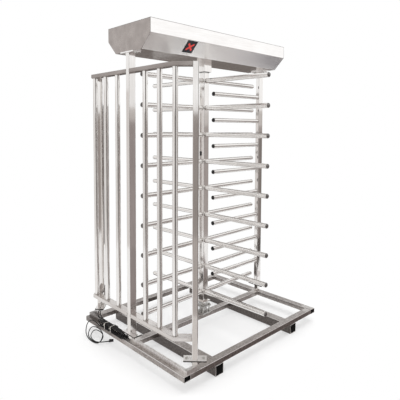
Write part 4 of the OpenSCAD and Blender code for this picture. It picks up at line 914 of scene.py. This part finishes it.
# Level cards: tone, height, corners on the floor plan. Those near the floor draw the dark lines along bars and arms and
# shade the raw tubes' tops; where two overlap, their heights differ.
LEVEL_CARDS = {
    "card_right_floor": ("#968d8b", 0.004, [(-0.75, -0.72), (0.9, -0.72), (2.1, -2.25), (0.05, -2.75)]),
    "card_front_floor": ("#a59d9a", 0.003, [(-0.80, -0.66), (0.90, -0.66), (0.90, -0.95), (-0.80, -0.95)]),
    "card_left_floor": ("#f0eeec", 0.003, [(-0.84, -0.64), (-1.2, -0.9), (-1.3, 1.0), (-0.84, 0.66)]),
    "card_comb_floor": ("#5a5451", 0.006, [(0.80, -0.24), (0.80, -0.32), (2.65, -1.79), (2.90, -1.50)]),
    "card_rotor_floor": ("#5f5956", 0.006, [(-0.05, 0.05), (0.07, 0.05), (0.50, 3.2), (-0.70, 3.2)]),
    "card_camera_floor": ("#b6afab", 0.003, [(-1.53, -1.35), (-1.45, -1.43), (-3.26, -3.68), (-3.97, -2.98)]),
    "card_post_floor": ("#dcd7d4", 0.003, [(-0.85, -0.68), (-0.78, -0.76), (-1.45, -1.43), (-1.53, -1.35)]),
    "card_bars_floor": ("#625c59", 0.005, [(-0.98, -0.96), (-0.84, -0.96), (-0.9, -4.6), (-3.20, -3.68)]),
    "card_back_floor": ("#6b6461", 0.003, [(1.6, 2.1), (2.3, 1.4), (9, 1.2), (9, 9), (1.2, 9)]),
    "card_above_back": ("#5f5955", 4.2,
                        [(1.95, 0.35), (4.9, 0.9), (3.9, 3.9), (0.0, 4.9), (-0.35, 1.95), (1.4, 1.4)]),
}

# A strip on the floor in tones from left to right, which the canopy's slanted side mirrors: tone, start, end
SLOPE_STRIP = [("#ada6a4", 0.90, 1.35), ("#dedad9", 1.35, 1.50), ("#ffffff", 1.50, 2.05), ("#d6d2d0", 2.05, 2.40),
               ("#c0bbba", 2.40, 2.75), ("#b4afb0", 2.75, 3.20), ("#9a9698", 3.20, 3.65), ("#7d797c", 3.65, 5.0)]
STRIP_FRONT, STRIP_BACK, STRIP_HEIGHT = -1.05, -0.50, 0.0035


def make_cards():
    for name, (tone, start, end, low, high) in UPRIGHT_CARDS.items():
        card(name, tone, [(*start, low), (*end, low), (*end, high), (*start, high)])
    for name, (tone, height, corners) in LEVEL_CARDS.items():
        card(name, tone, [(x, y, height) for x, y in corners])
    for number, (tone, start, end) in enumerate(SLOPE_STRIP, 1):
        plan = [(start, STRIP_FRONT), (end, STRIP_FRONT), (end, STRIP_BACK), (start, STRIP_BACK)]
        card("card_slope_floor_%d" % number, tone, [(x, y, STRIP_HEIGHT) for x, y in plan])


def lamp(name, place, target, width, height, watts, mirrored=False):
    """A softbox. Only the one that whitens the canopy's front is seen in reflections; the others light the floor."""
    data = bpy.data.lights.new(name, "AREA")
    data.shape, data.size, data.size_y, data.energy = "RECTANGLE", width, height, watts
    obj = bpy.data.objects.new(name, data)
    obj.location = place
    obj.rotation_euler = (Vector(target) - Vector(place)).to_track_quat("-Z", "Z").to_euler()
    obj.visible_glossy = mirrored
    bpy.context.scene.collection.objects.link(obj)


make_world()
make_floor()
make_cards()
lamp("softbox_front_right", (2.3, -2.4, 3.45), (0, 0, 2.2), width=4.2, height=2.4, watts=3.2, mirrored=True)
lamp("softbox_above", (0.0, -0.2, 4.6), (0, 0, 0), width=4.0, height=4.0, watts=120)
lamp("softbox_left", (-2.6, 2.8, 1.15), (-0.4, 0, 1.15), width=3.2, height=2.0, watts=22)

view = bpy.context.scene.view_settings
view.view_transform = "Standard"
